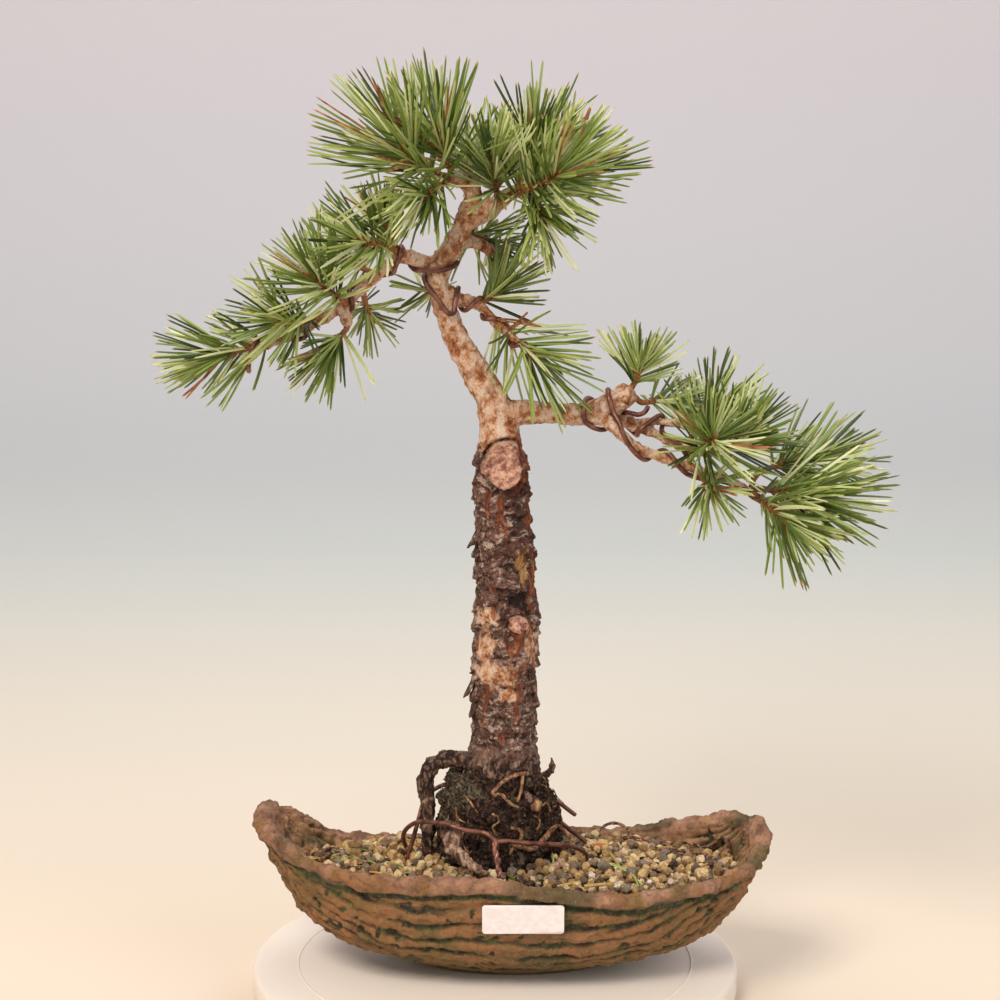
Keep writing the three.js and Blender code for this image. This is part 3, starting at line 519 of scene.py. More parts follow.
def combPot():
    pot = remeshed("pot", "pot_stoneware", potLook["voxel"], potLook["smoothing"])
    places, normals = readPoints(pot)
    x, y, z = places.T
    low, high = (np.array(corner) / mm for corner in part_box("pot"))
    halfLength, halfWidth = (high[0] - low[0]) / 2, (high[1] - low[1]) / 2
    # The rim's height round the pot is read off the CAD pot.
    angle = np.arctan2(y / halfWidth, x / halfLength)
    bins = 90
    slot = np.floor((angle + math.pi) / (2 * math.pi) * bins).astype(int) % bins
    rimHeights = np.array([z[slot == index].max() for index in range(bins)])
    rim = np.interp((angle + math.pi) / (2 * math.pi) * bins - 0.5, np.arange(bins), rimHeights, period=bins)
    keel = np.interp(np.abs(x), *np.transpose(potLook["keel"]))
    # Lines from end to end, like the planks of a boat: an angle about an axis over the pot.
    side = np.abs(y) / (halfWidth * np.sqrt(np.maximum(1 - (x / (halfLength + 9)) ** 2, 0.05)))
    plank = np.degrees(np.arctan2((potLook["axisHeight"] - z) / (potLook["axisHeight"] - keel + 4), side))
    stretched = places * [0.35, 1, 1]
    wander = 4.5 * wobble(places * [0.5, 1, 1], 30, 1, 2) + 1.6 * wobble(stretched, 7, 2, 2)
    turn = (plank + wander + 6 * (y > 0)) * potLook["ridges"] / 90
    place = turn - np.floor(turn)
    fromCut = np.minimum(place, 1 - place) * 2
    strength = np.clip(0.75 + 0.9 * wobble(stretched + [0, 0, 40], 14, 3, 2), 0.1, 1.2)
    cut = np.exp(-((fromCut / 0.4) ** 2)) * strength
    fine = wobble(places * [0.18, 1, 1], 2.2, 4, 3)
    pits = smooth(0.42, 0.6, wobble(places, 5, 5, 2))
    # A rolled lip with a cut under it, which wanders.
    below = rim - z
    lipEdge = potLook["lipHeight"] + 2.5 * wobble(places * [0.4, 1, 1], 22, 6, 2)
    lip = smooth(lipEdge, lipEdge - 3, below)
    outside = smooth(-0.2, 0.3, normals[:, 1] * y + normals[:, 0] * x)
    underLip = np.exp(-(((below - lipEdge) / 1.6) ** 2)) * outside
    top = smooth(0.5, 0.9, normals[:, 2]) * lip
    foot = smooth(1.0, 4.0, z)  # the foot stays flat
    inner = smooth(4, 9, z)
    shallow = 1 - 0.75 * lip
    move = -potLook["cutDepth"] * cut * shallow - 0.9 * pits * shallow + 0.35 * fine
    move += potLook["lipBulge"] * lip * outside - 0.9 * underLip * strength
    move += 2.2 * wobble(places * [0.7, 1, 1], 13, 7, 4) * lip + 1.4 * wobble(places, 6, 8, 5) * foot
    # Nothing swells through the label.
    labelLow, labelHigh = (np.array(corner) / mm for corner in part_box("label"))
    behindLabel = np.all((places > labelLow - [0.4, 9, 0.4]) & (places < labelHigh + [0.4, 9, 0.4]), axis=1)
    move = np.where(behindLabel, np.minimum(move, -0.1), move)
    writePoints(pot, places + normals * (move * foot * inner)[:, None])
    # The groove mark is painted shade in the recesses (the cuts, the pits and the cut under the lip), over the
    # slip in them.
    setAttribute(pot, "groove", np.clip(cut * (1 - 0.55 * lip) + 0.8 * pits * (1 - lip) + underLip, 0, 1))
    setAttribute(pot, "low", smooth(30, 4, z))
    setAttribute(pot, "inside", 1 - outside)
    # Painted highlight: the lip's upward faces (top) add to the lighter lip.
    setAttribute(pot, "rim", np.clip(lip * 0.8 + top, 0, 1) * smooth(-0.5, 0.2, wobble(places, 12, 9, 2)))
    return finish(pot, [stoneware], ["pot"])


combPot()

# ---------- soil ----------
soilLook = {"voxel": 2.0, "grains": 2600, "small": 1.2, "large": 3.1}


def stoneShape(seed):
    bpy.ops.mesh.primitive_cube_add(size=1.3)
    stone = bpy.context.object
    bpy.ops.object.mode_set(mode="EDIT")
    bpy.ops.mesh.select_all(action="SELECT")
    bpy.ops.mesh.subdivide(number_cuts=1, smoothness=0.75)
    bpy.ops.transform.vertex_random(offset=0.28, seed=seed)
    bpy.ops.object.mode_set(mode="OBJECT")
    return template(stone)


def layGravel():
    bed = remeshed("soil", "soil_bed", soilLook["voxel"], 2)
    places, normals = readPoints(bed)
    writePoints(bed, places + normals * (0.7 * wobble(places, 5, 11, 2) - 1.3)[:, None])
    # The soil bed's near-black colour is painted shade in the gaps between the grains, over the soil's own dark
    # brown.
    finish(bed, [soilWithGapShade], ["soil"])
    low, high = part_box("soil")
    down, floorOfSoil = Vector((0, 0, -1)), 0.04

    def surface(x, y):
        hit = soilTree.ray_cast(Vector((x, y, 0.2)), down)[0]
        return hit.z if hit and hit.z > floorOfSoil else None

    grains = []
    while len(grains) < soilLook["grains"]:
        x, y = chance.uniform(low.x, high.x), chance.uniform(low.y, high.y)
        radius = chance.triangular(soilLook["small"], 1.7, soilLook["large"]) * mm
        sides = ((0, 0), (1, 0), (-1, 0), (0, 1), (0, -1))
        heights = [surface(x + radius * a, y + radius * b) for a, b in sides]
        if None in heights:
            continue
        layer = chance.choice([-1.1, 0.2, 1.1], p=[0.4, 0.36, 0.24])
        if layer > 0 and grains:
            near = np.array(grains)
            gaps = np.hypot(near[:, 0] - x, near[:, 1] - y)
            if np.any((gaps < 0.8 * (radius + near[:, 3])) & (near[:, 4] == layer)):
                continue
        grains.append((x, y, heights[0] + layer * radius * 0.8, radius, layer))
    grains = np.array(grains)
    spin = chance.uniform(0, 2 * math.pi, len(grains))
    tilt = unit(np.column_stack([chance.normal(0, 0.5, (len(grains), 2)), np.ones(len(grains))]))
    axes = framesAlong(tilt, spin)
    shapes = [stoneShape(seed) for seed in (3, 8, 14)]
    stretch = chance.uniform(0.75, 1.25, (len(grains), 3))
    for index, shape in enumerate(shapes):
        own = np.arange(len(grains)) % len(shapes) == index
        sizes = grains[own, 3:4] / mm * stretch[own]
        tones = np.clip(chance.beta(1.7, 1.7, own.sum()), 0, 1)
        piece = copyAt(f"gravel_{index + 1}", shape, grains[own, :3] / mm, axes[own], sizes, tones=tones)
        finish(piece, [gravel], angle=34)


layGravel()

# How far litter lies off the soil, its height where it has left the soil, and where the bud scale lies, in mm.
litterLook = {"off": 1.9, "edge": 54, "budScale": (43.5, 4.7)}
# Straw, fallen needles and thin dead roots on the gravel: [start x, y, end x, y, half width, tone, bow] in mm.
fallen = {
    "straw": (dryLeaf, [
        [45.8, -0.4, 52.5, -28, 0.8, 0.85, 1], [21, -45, 32, -40, 0.9, 0.8, 1],
        [33.6, -52, 48, -49, 0.9, 0.82, 1], [-2, -48, 8, -50, 0.7, 0.75, 1],
        [-30, -48, -21, -51, 0.8, 0.7, 0], [86, 12, 96, 2, 0.6, 0.8, 1], [-104, 8, -93, -3, 0.5, 0.6, 1],
        [60, 20, 71, 30, 0.5, 0.5, 2], [70, -6, 78, 4, 0.5, 0.55, 1], [-70, -24, -60, -32, 0.6, 0.7, 1],
        [-58, 12, -46, 8, 0.6, 0.45, 1], [92, -12, 99, -2, 0.5, 0.65, 1],
    ]),
    "fallen_needles": (needleSkin, [
        [45.9, -18, 62, -40, 0.42, 0.75, 2], [47, -17, 60, -42, 0.42, 0.6, 3], [-2, -34, 2, -49, 0.45, 0.4, 1],
        [17.4, -6, 19.5, -20, 0.45, 0.7, 1], [-97, 8, -84, -6, 0.42, 0.6, 2], [-92, 12, -78, -2, 0.42, 0.5, 2],
        [-88, 2, -73, -12, 0.42, 0.35, 2], [-100, 2, -82, 6, 0.42, 0.7, 2], [-86, 14, -70, 4, 0.42, 0.3, 2],
        [88, -14, 92, -28, 0.42, 0.6, 3], [90, -14, 95, -26, 0.42, 0.7, 2], [74, 8, 92, 10, 0.42, 0.3, 1],
        [-64, -14, -52, -26, 0.42, 0.4, 2], [64, 34, 78, 26, 0.42, 0.4, 2], [-76, -8, -66, -20, 0.42, 0.55, 2],
    ]),
    "dead_rootlets": (deadWood, [
        [50, 36, 66, 30, 1.3, 0.5, 3], [60, 26, 82, 22, 1.2, 0.5, 3], [84, 10, 100, -6, 1.1, 0.5, 4],
        [99, 22, 106, 2, 1.1, 0.5, 5], [-102, 12, -88, 20, 0.9, 0.5, 3], [-84, -18, -70, -10, 0.9, 0.5, 2],
        [54, -38, 64, -32, 0.9, 0.5, 1], [-64, 24, -46, 30, 1.1, 0.5, 3], [40, -30, 50, -24, 0.8, 0.5, 1],
        [24, -36, 36, -33, 0.9, 0.5, 1], [-52, -30, -44, -38, 0.9, 0.5, 2], [66, -20, 76, -26, 0.9, 0.5, 1],
    ]),
}


def dropLitter():
    down = Vector((0, 0, -1))
    for name, (look, lines) in fallen.items():
        pieces = []
        for startX, startY, endX, endY, width, tone, bow in lines:
            route = []
            for share in (0, 0.33, 0.67, 1):
                x, y = startX + (endX - startX) * share, startY + (endY - startY) * share
                x += bow * math.sin(math.pi * share)
                ground = soilTree.ray_cast(Vector((x * mm, y * mm, 0.2)), down)[0]
                height = ground.z / mm if ground and ground.z > 0.04 else litterLook["edge"]
                route.append([x, y, height + litterLook["off"] + 0.4 * bow * math.sin(math.pi * share), width])
            stalk = tubes("stalk", [route], sides=1, steps=4)
            setAttribute(stalk, "tone", np.full(len(stalk.data.vertices), tone))
            setAttribute(stalk, "along", np.full(len(stalk.data.vertices), 0.5))
            pieces.append(stalk)
        finish(joined(name, *pieces), [look])
    # One papery orange bud scale, cupped and tipped up at one end.
    bpy.ops.mesh.primitive_uv_sphere_add(segments=16, ring_count=10, radius=1)
    scale = bpy.context.object
    scale.name = "bud_scale"
    places, normals = readPoints(scale)
    x, y, z = (places * mm).T
    middleX, middleY = litterLook["budScale"]
    ground = soilTree.ray_cast(Vector((middleX * mm, middleY * mm, 0.2)), down)[0].z / mm
    height = ground + 3.0 + 1.1 * z - 1.4 * x * x - 0.5 * x
    writePoints(scale, np.column_stack([middleX + 4.2 * x, middleY + 2.6 * y, height]))
    setAttribute(scale, "tone", np.full(len(places), 0.42))
    finish(scale, [dryLeaf])


dropLitter()

# ---------- root ball ----------
ballLook = {"voxel": 0.85, "smoothing": 2, "crag": 4.0, "hairs": 300}


def matRoots():
    ball = remeshed("root_ball", "root_ball_mat", ballLook["voxel"], ballLook["smoothing"])
    places, normals = readPoints(ball)
    lumps = wobble(places, 9, 21, 4) + 0.5 * np.abs(wobble(places, 4.5, 24, 3))
    crumbs = np.abs(wobble(places, 3.4, 22, 4))
    move = ballLook["crag"] * (lumps - 0.25) - 2.4 * crumbs + 0.6
    writePoints(ball, places + normals * move[:, None])
    x, y, z = places.T
    cushion = smooth(0.25, 0.5, wobble(places, 9, 23, 3) + 0.75 * smooth(-12, -22, x) * smooth(76, 86, z))
    setAttribute(ball, "moss", cushion)
    finish(ball, [rootMat], ["root_ball"])
    # Hair roots: short, thin, bent, lying on the mat.
    chosen = chance.choice(len(places), ballLook["hairs"], replace=False)
    routes = []
    for index in chosen:
        start, out = places[index] + normals[index] * move[index], normals[index]
        if start[2] < 56:
            continue
        along = unit(np.cross(out, chance.normal(size=3)))
        reach = chance.uniform(3, 9)
        middle = start + along * reach * 0.5 + out * chance.uniform(0.4, 2.0)
        end = start + along * reach + np.array([0, 0, -1]) * chance.uniform(0, 2.5) - out * 0.4
        radius = chance.uniform(0.14, 0.32)
        routes.append([[*(start - out), radius], [*middle, radius], [*end, radius * 0.5]])
    hairs = tubes("root_hairs", routes, sides=0, steps=4)
    setAttribute(hairs, "tone", np.full(len(hairs.data.vertices), 0.5))
    finish(hairs, [deadWood])


matRoots()

# Loose roots on the front of the ball: [x, z, radius] in mm, each laid on whatever is behind it.
looseRoots = [
    [[8, 100, 0.7], [3, 101, 1.0], [-3, 99, 1.0], [-8, 96, 1.0], [-9.5, 93.5, 0.9], [-6, 93, 0.8],
     [-2, 89, 0.8], [2.5, 86, 0.6]],
    [[4.5, 100, 0.8], [3.8, 94, 0.8], [2, 88.5, 0.6]],
    [[-13, 84, 0.4], [-9, 84, 0.6], [-7, 81, 0.6], [-10, 78, 0.5], [-8, 74, 0.4]],
    [[-1, 77, 0.8], [3, 75.5, 1.0], [4, 72, 1.1], [1, 69, 0.8], [-2, 64, 0.6]],
    [[-1.3, 69.6, 0.9], [3, 67.5, 1.2], [9.4, 65, 1.4], [14, 67.4, 1.4], [18.8, 71.5, 1.4],
     [23, 69.5, 1.2], [30, 62.5, 0.9]],
    [[-24, 92, 0.4], [-20, 88, 0.5], [-17, 84, 0.4]],
    [[-28, 86, 0.4], [-27, 81, 0.5], [-23, 79, 0.4]],
    [[10, 81, 0.5], [13, 77, 0.6], [11, 73, 0.5]],
    [[-24, 76, 0.6], [-25, 70, 0.7], [-21, 64, 0.6]],
    [[14, 88, 0.5], [17, 85, 0.6], [18, 81, 0.5]],
]


def layRoots():
    routes = []
    for root in looseRoots:
        route = []
        for x, z, radius in root:
            start, ahead = Vector((x, -70, z)) * mm, Vector((0, 1, 0))
            hits = [tree.ray_cast(start, ahead)[0] for tree in (ballTree, woodTree)]
            fronts = [hit.y / mm for hit in hits if hit]
            y = (min(fronts) if fronts else route[-1][1] if route else -20) - radius - 0.8
            route.append([x, y, z, radius])
        routes.append(route)
    roots = tubes("loose_roots", routes, sides=2, steps=6)
    places, normals = readPoints(roots)
    writePoints(roots, places + normals * (0.3 * wobble(places, 2, 25, 3))[:, None])
    finish(roots, [paleRoot])


layRoots()

# ---------- tree ----------
woodLook = {
    "voxel": 0.72, "smoothing": 3, "plateGap": 7.5, "plateStretch": (1, 1, 1.15), "plateRise": 1.7,
    "plateTilt": 1.5, "scaleGap": 2.9, "scaleRise": 0.9, "twigRise": 0.5, "crackDepth": 0.9,
    "cutRootEnd": (12, -27, 87), "swollenFoot": (-27, 74, 7, 3.0),  # the foot's x, z, reach and rise
}
# Places on the trunk's front where the bark differs: [x, z, half width, half height, depth] in mm.
barkPlaces = {
    "redBark": [
        [0.5, 166, 5.2, 6.5, 1.2], [8.0, 226, 2.0, 12, 0.7], [9.6, 197, 1.9, 15, 0.6], [4.6, 257, 3.2, 6, 0.5],
        [-9.8, 182, 1.6, 6, 0.6], [-12.8, 232, 1.3, 9, 0.4], [-7, 228, 1.2, 10, 0.5], [1.5, 130, 1.6, 6, 0.3],
        [3, 142, 1.8, 6, 0.3], [-6, 118, 1.5, 4, 0.3],
    ],
    "youngBark": [
        [-9, 150, 10.5, 7.5, 0.8], [-12, 178.5, 5.5, 6.5, 0.6], [-13, 163, 5.5, 7, 0.5], [9, 165, 3.0, 10, 0.4],
        [-5, 264, 13, 8, 0.2], [-2, 140, 4, 4, 0.3],
    ],
    "bareWood": [[5.3, 202, 2.2, 9.5, 1.6], [2.2, 206, 1.6, 5, 1.2]],
    # The crack places are deep hollows, marked near black: painted shade in them.
    "crack": [[4, 186.5, 6, 4, 3.2], [7, 181, 2.5, 4, 1.6]],
}
# Where branches were sawn off: x, z, half width, half height and the y of the healed face, in mm.
scars = [[-5, 252.5, 9.6, 11.6, -17.6], [1.8, 174.8, 4.6, 4.6, -19.0]]


def raiseMark(marks, name, mask):
    marks[name] = np.maximum(marks[name], mask)


def healScars(places, fromAxis, rugged, fine, ragged, moved, marks):  # a flat pad in a ring of swollen bark
    x, y, z = places.T
    for spotX, spotZ, wide, tall, face in scars:
        turn = np.arctan2(z - spotZ, x - spotX)
        outline = 1 + 0.06 * np.sin(3 * turn + 1) + 0.04 * np.sin(5 * turn)
        far = np.hypot((x - spotX) / wide, (z - spotZ) / tall) * outline
        near = (y < 0) & (fromAxis < 26)
        pad = smooth(1.0, 0.9, far + 0.08 * ragged) * near
        moved[:, 1] += pad * (face + 1.3 * rugged + 0.6 * fine + 0.10 * (z - spotZ) - moved[:, 1])
        ring = np.exp(-(((far - 1.04) / 0.08) ** 2)) * near * (1 + 0.6 * rugged)
        swelling = np.exp(-(((far - 1.2) / 0.12) ** 2)) * near
        moved[:, 1] += 1.5 * ring - 1.6 * swelling * (0.6 + 0.5 * np.sin(turn))
        for name in ("redBark", "crack"):
            marks[name] *= 1 - pad
        raiseMark(marks, "cutWood", pad)
        raiseMark(marks, "bareWood", 0.55 * pad * smooth(0.72, 0.95, far) * smooth(-0.2, 0.6, -np.cos(turn)))
        raiseMark(marks, "redBark", near * smooth(0.25, 0.1, np.abs(far - 1.2)) * smooth(0, 0.6, np.cos(turn)))
        # Painted shade in the groove round the scar, darker on its upper side under the swelling.
        raiseMark(marks, "crack", ring * (0.5 + 0.5 * np.sin(turn)))


def dressWood():
    wood = remeshed("tree_wood", "tree_bark", woodLook["voxel"], woodLook["smoothing"])
    places, normals = readPoints(wood)
    x, y, z = places.T
    fromAxis = np.hypot(x + 4, y)
    trunk = smooth(21, 18, fromAxis) * smooth(104, 114, z + 3 * wobble(places, 8, 30, 2)) * smooth(266, 252, z)
    root = np.maximum(smooth(116, 104, z), smooth(20, 24, fromAxis) * smooth(125, 115, z))
    young = (1 - trunk) * (1 - root)
    warp = np.column_stack([wobble(places, 6, seed, 3) for seed in (31, 32, 33)])
    seeds = spaced(places[chance.choice(len(places), 9000, replace=False)], woodLook["plateGap"])
    own, border = cells(places + 3.4 * warp, seeds, np.array(woodLook["plateStretch"]))
    lift = chance.random(len(seeds))[own]
    plate = smooth(0.0, 1.0, border)
    slope = np.clip((seeds[own, 2] - z) / woodLook["plateGap"], -1, 1)
    seeds = spaced(places[chance.choice(len(places), 16000, replace=False)], woodLook["scaleGap"])
    scale, scaleBorder = cells(places + 1.6 * warp, seeds, np.array([1, 1, 1.2]))
    scaleLift = chance.random(len(seeds))[scale]
    scaleEdge = smooth(0, 0.8, scaleBorder)
    fine = wobble(places, 1.8, 34, 3)
    rugged = wobble(places, 5, 36, 4)
    strands = wobble(places * [1, 1, 0.22], 2.4, 35, 3)
    move = trunk * (
        woodLook["plateRise"] * (lift - 0.5) * plate + woodLook["plateTilt"] * slope * plate
        - woodLook["crackDepth"] * (1 - plate) + woodLook["scaleRise"] * (scaleLift - 0.5) * scaleEdge
        + 0.8 * rugged
    )
    limbHeight = woodLook["twigRise"] * (scaleLift - 0.5) * scaleEdge + 0.8 * rugged
    footX, footZ, reach, rise = woodLook["swollenFoot"]
    flare = rise * np.exp(-((x - footX) / reach) ** 2 - ((z - footZ) / reach) ** 2) * (y < -12)
    rootHeight = 1.3 * strands + 1.0 * rugged + flare
    move += young * limbHeight * smooth(0, 12, fromAxis) + root * rootHeight + 0.35 * fine
    # Crack mark: the fissures between plates, the sunken upper part of each plate under the raised lower edge
    # of the one above, and the gaps between young scales; near black, partly painted shade.
    crack = np.clip(trunk * (1 - plate) * (0.6 + 0.4 * (lift > 0.4)), 0, 1)
    crack = np.maximum(crack, trunk * smooth(-0.25, -0.6, slope) * 0.8 * (lift > 0.45))
    crack = np.maximum(crack, 0.5 * young * (1 - scaleEdge) * (scaleLift > 0.5))
    facing = smooth(0.3, -0.1, normals[:, 1]) * (z > 104) * smooth(24, 20, fromAxis)
    ragged = 0.55 * wobble(places, 5, 37, 2) + 0.35 * wobble(places, 2, 40, 2)
    marks = {name: np.zeros(len(places)) for name in ("youngBark", "redBark", "bareWood", "cutWood")}
    marks["crack"] = crack
    marks["youngBark"] = young * 0.9
    for name, spots in barkPlaces.items():
        for spotX, spotZ, wide, tall, deep in spots:
            far = np.hypot((x - spotX) / wide, (z - spotZ) / tall) + ragged
            mask = smooth(1.15, 0.7, far) * facing
            move = move * (1 - 0.7 * mask) - deep * mask
            marks["crack"] *= 1 - 0.8 * mask
            raiseMark(marks, name, mask)
    # Away from the front the noise lays bare patches.
    behind = smooth(0.0, 0.4, normals[:, 1]) * trunk
    raiseMark(marks, "redBark", behind * smooth(0.28, 0.42, wobble(places * [1, 1, 0.4], 13, 38, 3)))
    raiseMark(marks, "youngBark", behind * smooth(0.25, 0.45, wobble(places, 16, 39, 3)))
    raiseMark(marks, "redBark", 0.8 * trunk * smooth(0.4, 0.55, wobble(places * [1, 1, 0.3], 6, 41, 3)))
    raiseMark(marks, "redBark", 0.5 * young * smooth(0.3, 0.5, wobble(places * [1, 1, 0.7], 7, 42, 3)))
    moved = places + normals * move[:, None]
    healScars(places, fromAxis, rugged, fine, ragged, moved, marks)
    stubEnd = smooth(4.2, 3.2, np.sqrt(((places - woodLook["cutRootEnd"]) ** 2).sum(axis=1)))
    raiseMark(marks, "bareWood", 0.8 * stubEnd)
    root = root * (1 - stubEnd)
    surfaceRoot = root * smooth(78, 68, z) * smooth(-14, -22, y)
    marks["paleRoot"] = surfaceRoot + 0.5 * root * smooth(0.2, 0.45, wobble(places, 7, 43, 2))
    writePoints(wood, moved)
    # Painted shade: the plates darken on the trunk's right side, away from the key light, between z 160 and 215
    # mm.
    rightSideShade = 0.35 * smooth(160, 215, z) * trunk * smooth(-9, -2, x)
    marks["plate"] = np.clip(0.2 + 0.4 * lift + 0.3 * scaleLift + 0.3 * fine - rightSideShade, 0, 1)
    marks["rootBark"] = root
    for name, values in marks.items():
        setAttribute(wood, name, np.clip(values, 0, 1))
    return finish(wood, [bark], ["tree_wood"])


dressWood()

# ---------- loose bark flakes ----------
flakeLook = {"loose": 26, "low": 116, "high": 244, "trunkX": -4.5, "inset": 0.7}
# Flakes that stand off the trunk: [degrees from the front to the right, z, wide, tall, lift in degrees].
standingFlakes = [
    [-84, 214, 11, 9, 30], [-78, 208, 10, 6, 24], [-60, 217, 8, 7, 14], [-20, 210, 10, 5, 12],
    [-42, 209, 9, 6, 12], [8, 208, 9, 5, 14], [2, 197, 13, 8, 26], [-16, 201, 11, 6, 14],
    [-28, 187, 8, 7, 12], [-66, 200, 8, 8, 12], [-82, 258, 7, 9, 10], [-86, 245, 6, 5, 9],
    [-88, 239, 6, 5, 9], [-86, 234, 6, 5, 9], [-88, 228, 6, 5, 9], [66, 175, 8, 6, 34],
    [-86, 140, 9, 12, 24], [-74, 130, 7, 9, 12], [60, 150, 6, 8, 9], [80, 140, 6, 9, 8],
]


def flakeShape():
    bpy.ops.mesh.primitive_grid_add(x_subdivisions=6, y_subdivisions=6, size=1)
    flake = bpy.context.object
    bpy.ops.object.mode_set(mode="EDIT")
    bpy.ops.mesh.select_all(action="SELECT")
    bpy.ops.transform.rotate(value=math.radians(90), orient_axis="X", center_override=(0, 0, 0))
    bpy.ops.transform.vertex_random(offset=0.06, seed=5)
    bpy.ops.object.mode_set(mode="OBJECT")
    # A ragged outline and a curl across the flake, which hinges along its upper edge.
    for corner in flake.data.vertices:
        around = math.atan2(corner.co.z, corner.co.x)
        towardsCorner = abs(corner.co.x) * 2 * abs(corner.co.z) * 2
        ragged = 1 - 0.2 * towardsCorner ** 2 + 0.13 * math.sin(3 * around + 0.6)
        corner.co = (corner.co.x * ragged, corner.co.y + 0.6 * corner.co.x ** 2, corner.co.z * ragged - 0.5)
    applyModifier(flake, "SOLIDIFY", thickness=0.12, offset=0)
    return template(flake)


def scatterFlakes():
    loose = [
        [chance.uniform(-180, 180), chance.uniform(flakeLook["low"], flakeLook["high"]), chance.uniform(3, 7),
         chance.uniform(3, 7), chance.uniform(0, 7)] for _ in range(flakeLook["loose"])
    ]
    origins, axes, sizes = [], [], []
    for turn, z, wide, tall, lift in standingFlakes + loose:
        around, rise, roll = math.radians(turn), math.radians(lift), chance.normal(0, 0.25)
        out = np.array([math.sin(around), -math.cos(around), 0])
        level = np.array([math.cos(around), math.sin(around), 0])
        up = np.array([0, 0, 1]) * math.cos(rise) - out * math.sin(rise)
        side = level * math.cos(roll) + up * math.sin(roll)
        up = up * math.cos(roll) - level * math.sin(roll)
        axis = Vector((flakeLook["trunkX"], 0, z + tall / 2)) * mm
        hit = woodTree.ray_cast(axis + Vector(out) * 0.05, Vector(-out))[0]
        origins.append(np.array(hit) / mm - out * flakeLook["inset"])
        axes.append(np.stack([side, np.cross(up, side), up], axis=1))
        sizes.append([wide, 0.6 * wide, tall])
    flakes = copyAt("bark_flakes", flakeShape(), origins, np.array(axes), sizes)
    places, _ = readPoints(flakes)
    setAttribute(flakes, "plate", 0.5 + 0.5 * wobble(places, 6, 45, 2))
    finish(flakes, [bark], angle=40)


scatterFlakes()

# ---------- wires, staples, screens, litter: CAD routes made round and smooth ----------
roundings = [  # material, slot, how much a six-sided tube shrinks when it is subdivided in mm, and the tubes
    (copper, "copper_wire", 0.18, ("tie_wire", "tie_wire_rear", "tie_wire_end")),
    (copper, "copper_wire", 0.2, (
        "training_wire_left", "training_wire_lower_right", "training_wire_upper_right")),
    (copper, "copper_wire", 0.08, ("screen_staple_left", "screen_staple_right")),
    (deadWood, "dead_wood", 0.12, ("dead_twig_right",)),
    (deadWood, "dead_wood", 0.1, ("dead_twig_rear", "dead_root_loop", "dead_twig_left")),
]


def roundTube(node, look, shrink):
    tube = copyOfNode(node, node + "_round")
    applyModifier(tube, "SUBSURF", levels=2, render_levels=2)
    places, normals = readPoints(tube)
    places += normals * shrink
    if look is deadWood:
        places[:, 2] += litterLook["off"]
        places += normals * (0.35 * wobble(places, 2.5, 51, 2))[:, None]
    writePoints(tube, places)
    finish(tube, [look], [node])


for look, slot, shrink, names in roundings:
    for node in names:
        roundTube(node, look, shrink)

for node in ("drain_screen_left", "drain_screen_right"):
    nodes[node].data.materials.clear()
    nodes[node].data.materials.append(plasticMesh)

labelLook = {"cornerRadius": 1.6, "thinnerThan": 1.5, "endsBeyond": 18}


def roundLabel():
    label = copyOfNode("label", "blank_label")
    labelMiddle = (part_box("label")[0].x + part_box("label")[1].x) / 2
    # The short edges at the sheet's ends are rounded.
    corners = label.data.attributes.new("bevel_weight_edge", "FLOAT", "EDGE")
    for edge in label.data.edges:
        start, end = [label.data.vertices[index].co for index in edge.vertices]
        short = (start - end).length < labelLook["thinnerThan"] * mm
        atEnd = abs(start.x - labelMiddle) > labelLook["endsBeyond"] * mm
        corners.data[edge.index].value = float(short and atEnd)
    applyModifier(label, "BEVEL", width=labelLook["cornerRadius"] * mm, segments=4, limit_method="WEIGHT")
    finish(label, [paper], ["label"], angle=30)


roundLabel()

# ---------- needles ----------
# Half width in mm, pieces along a needle, the lean and bend of a pair, the golden angle from pair to pair
# in radians, how much they turn up to the light, and the shares of the pairs below that grow and that are dead.
needleLook = {
    "girth": 0.72, "segments": 5, "lean": 0.05, "bend": 0.07, "turn": 2.39996, "upturn": 0.1, "fill": 0.6,
    "dead": 0.02,
}
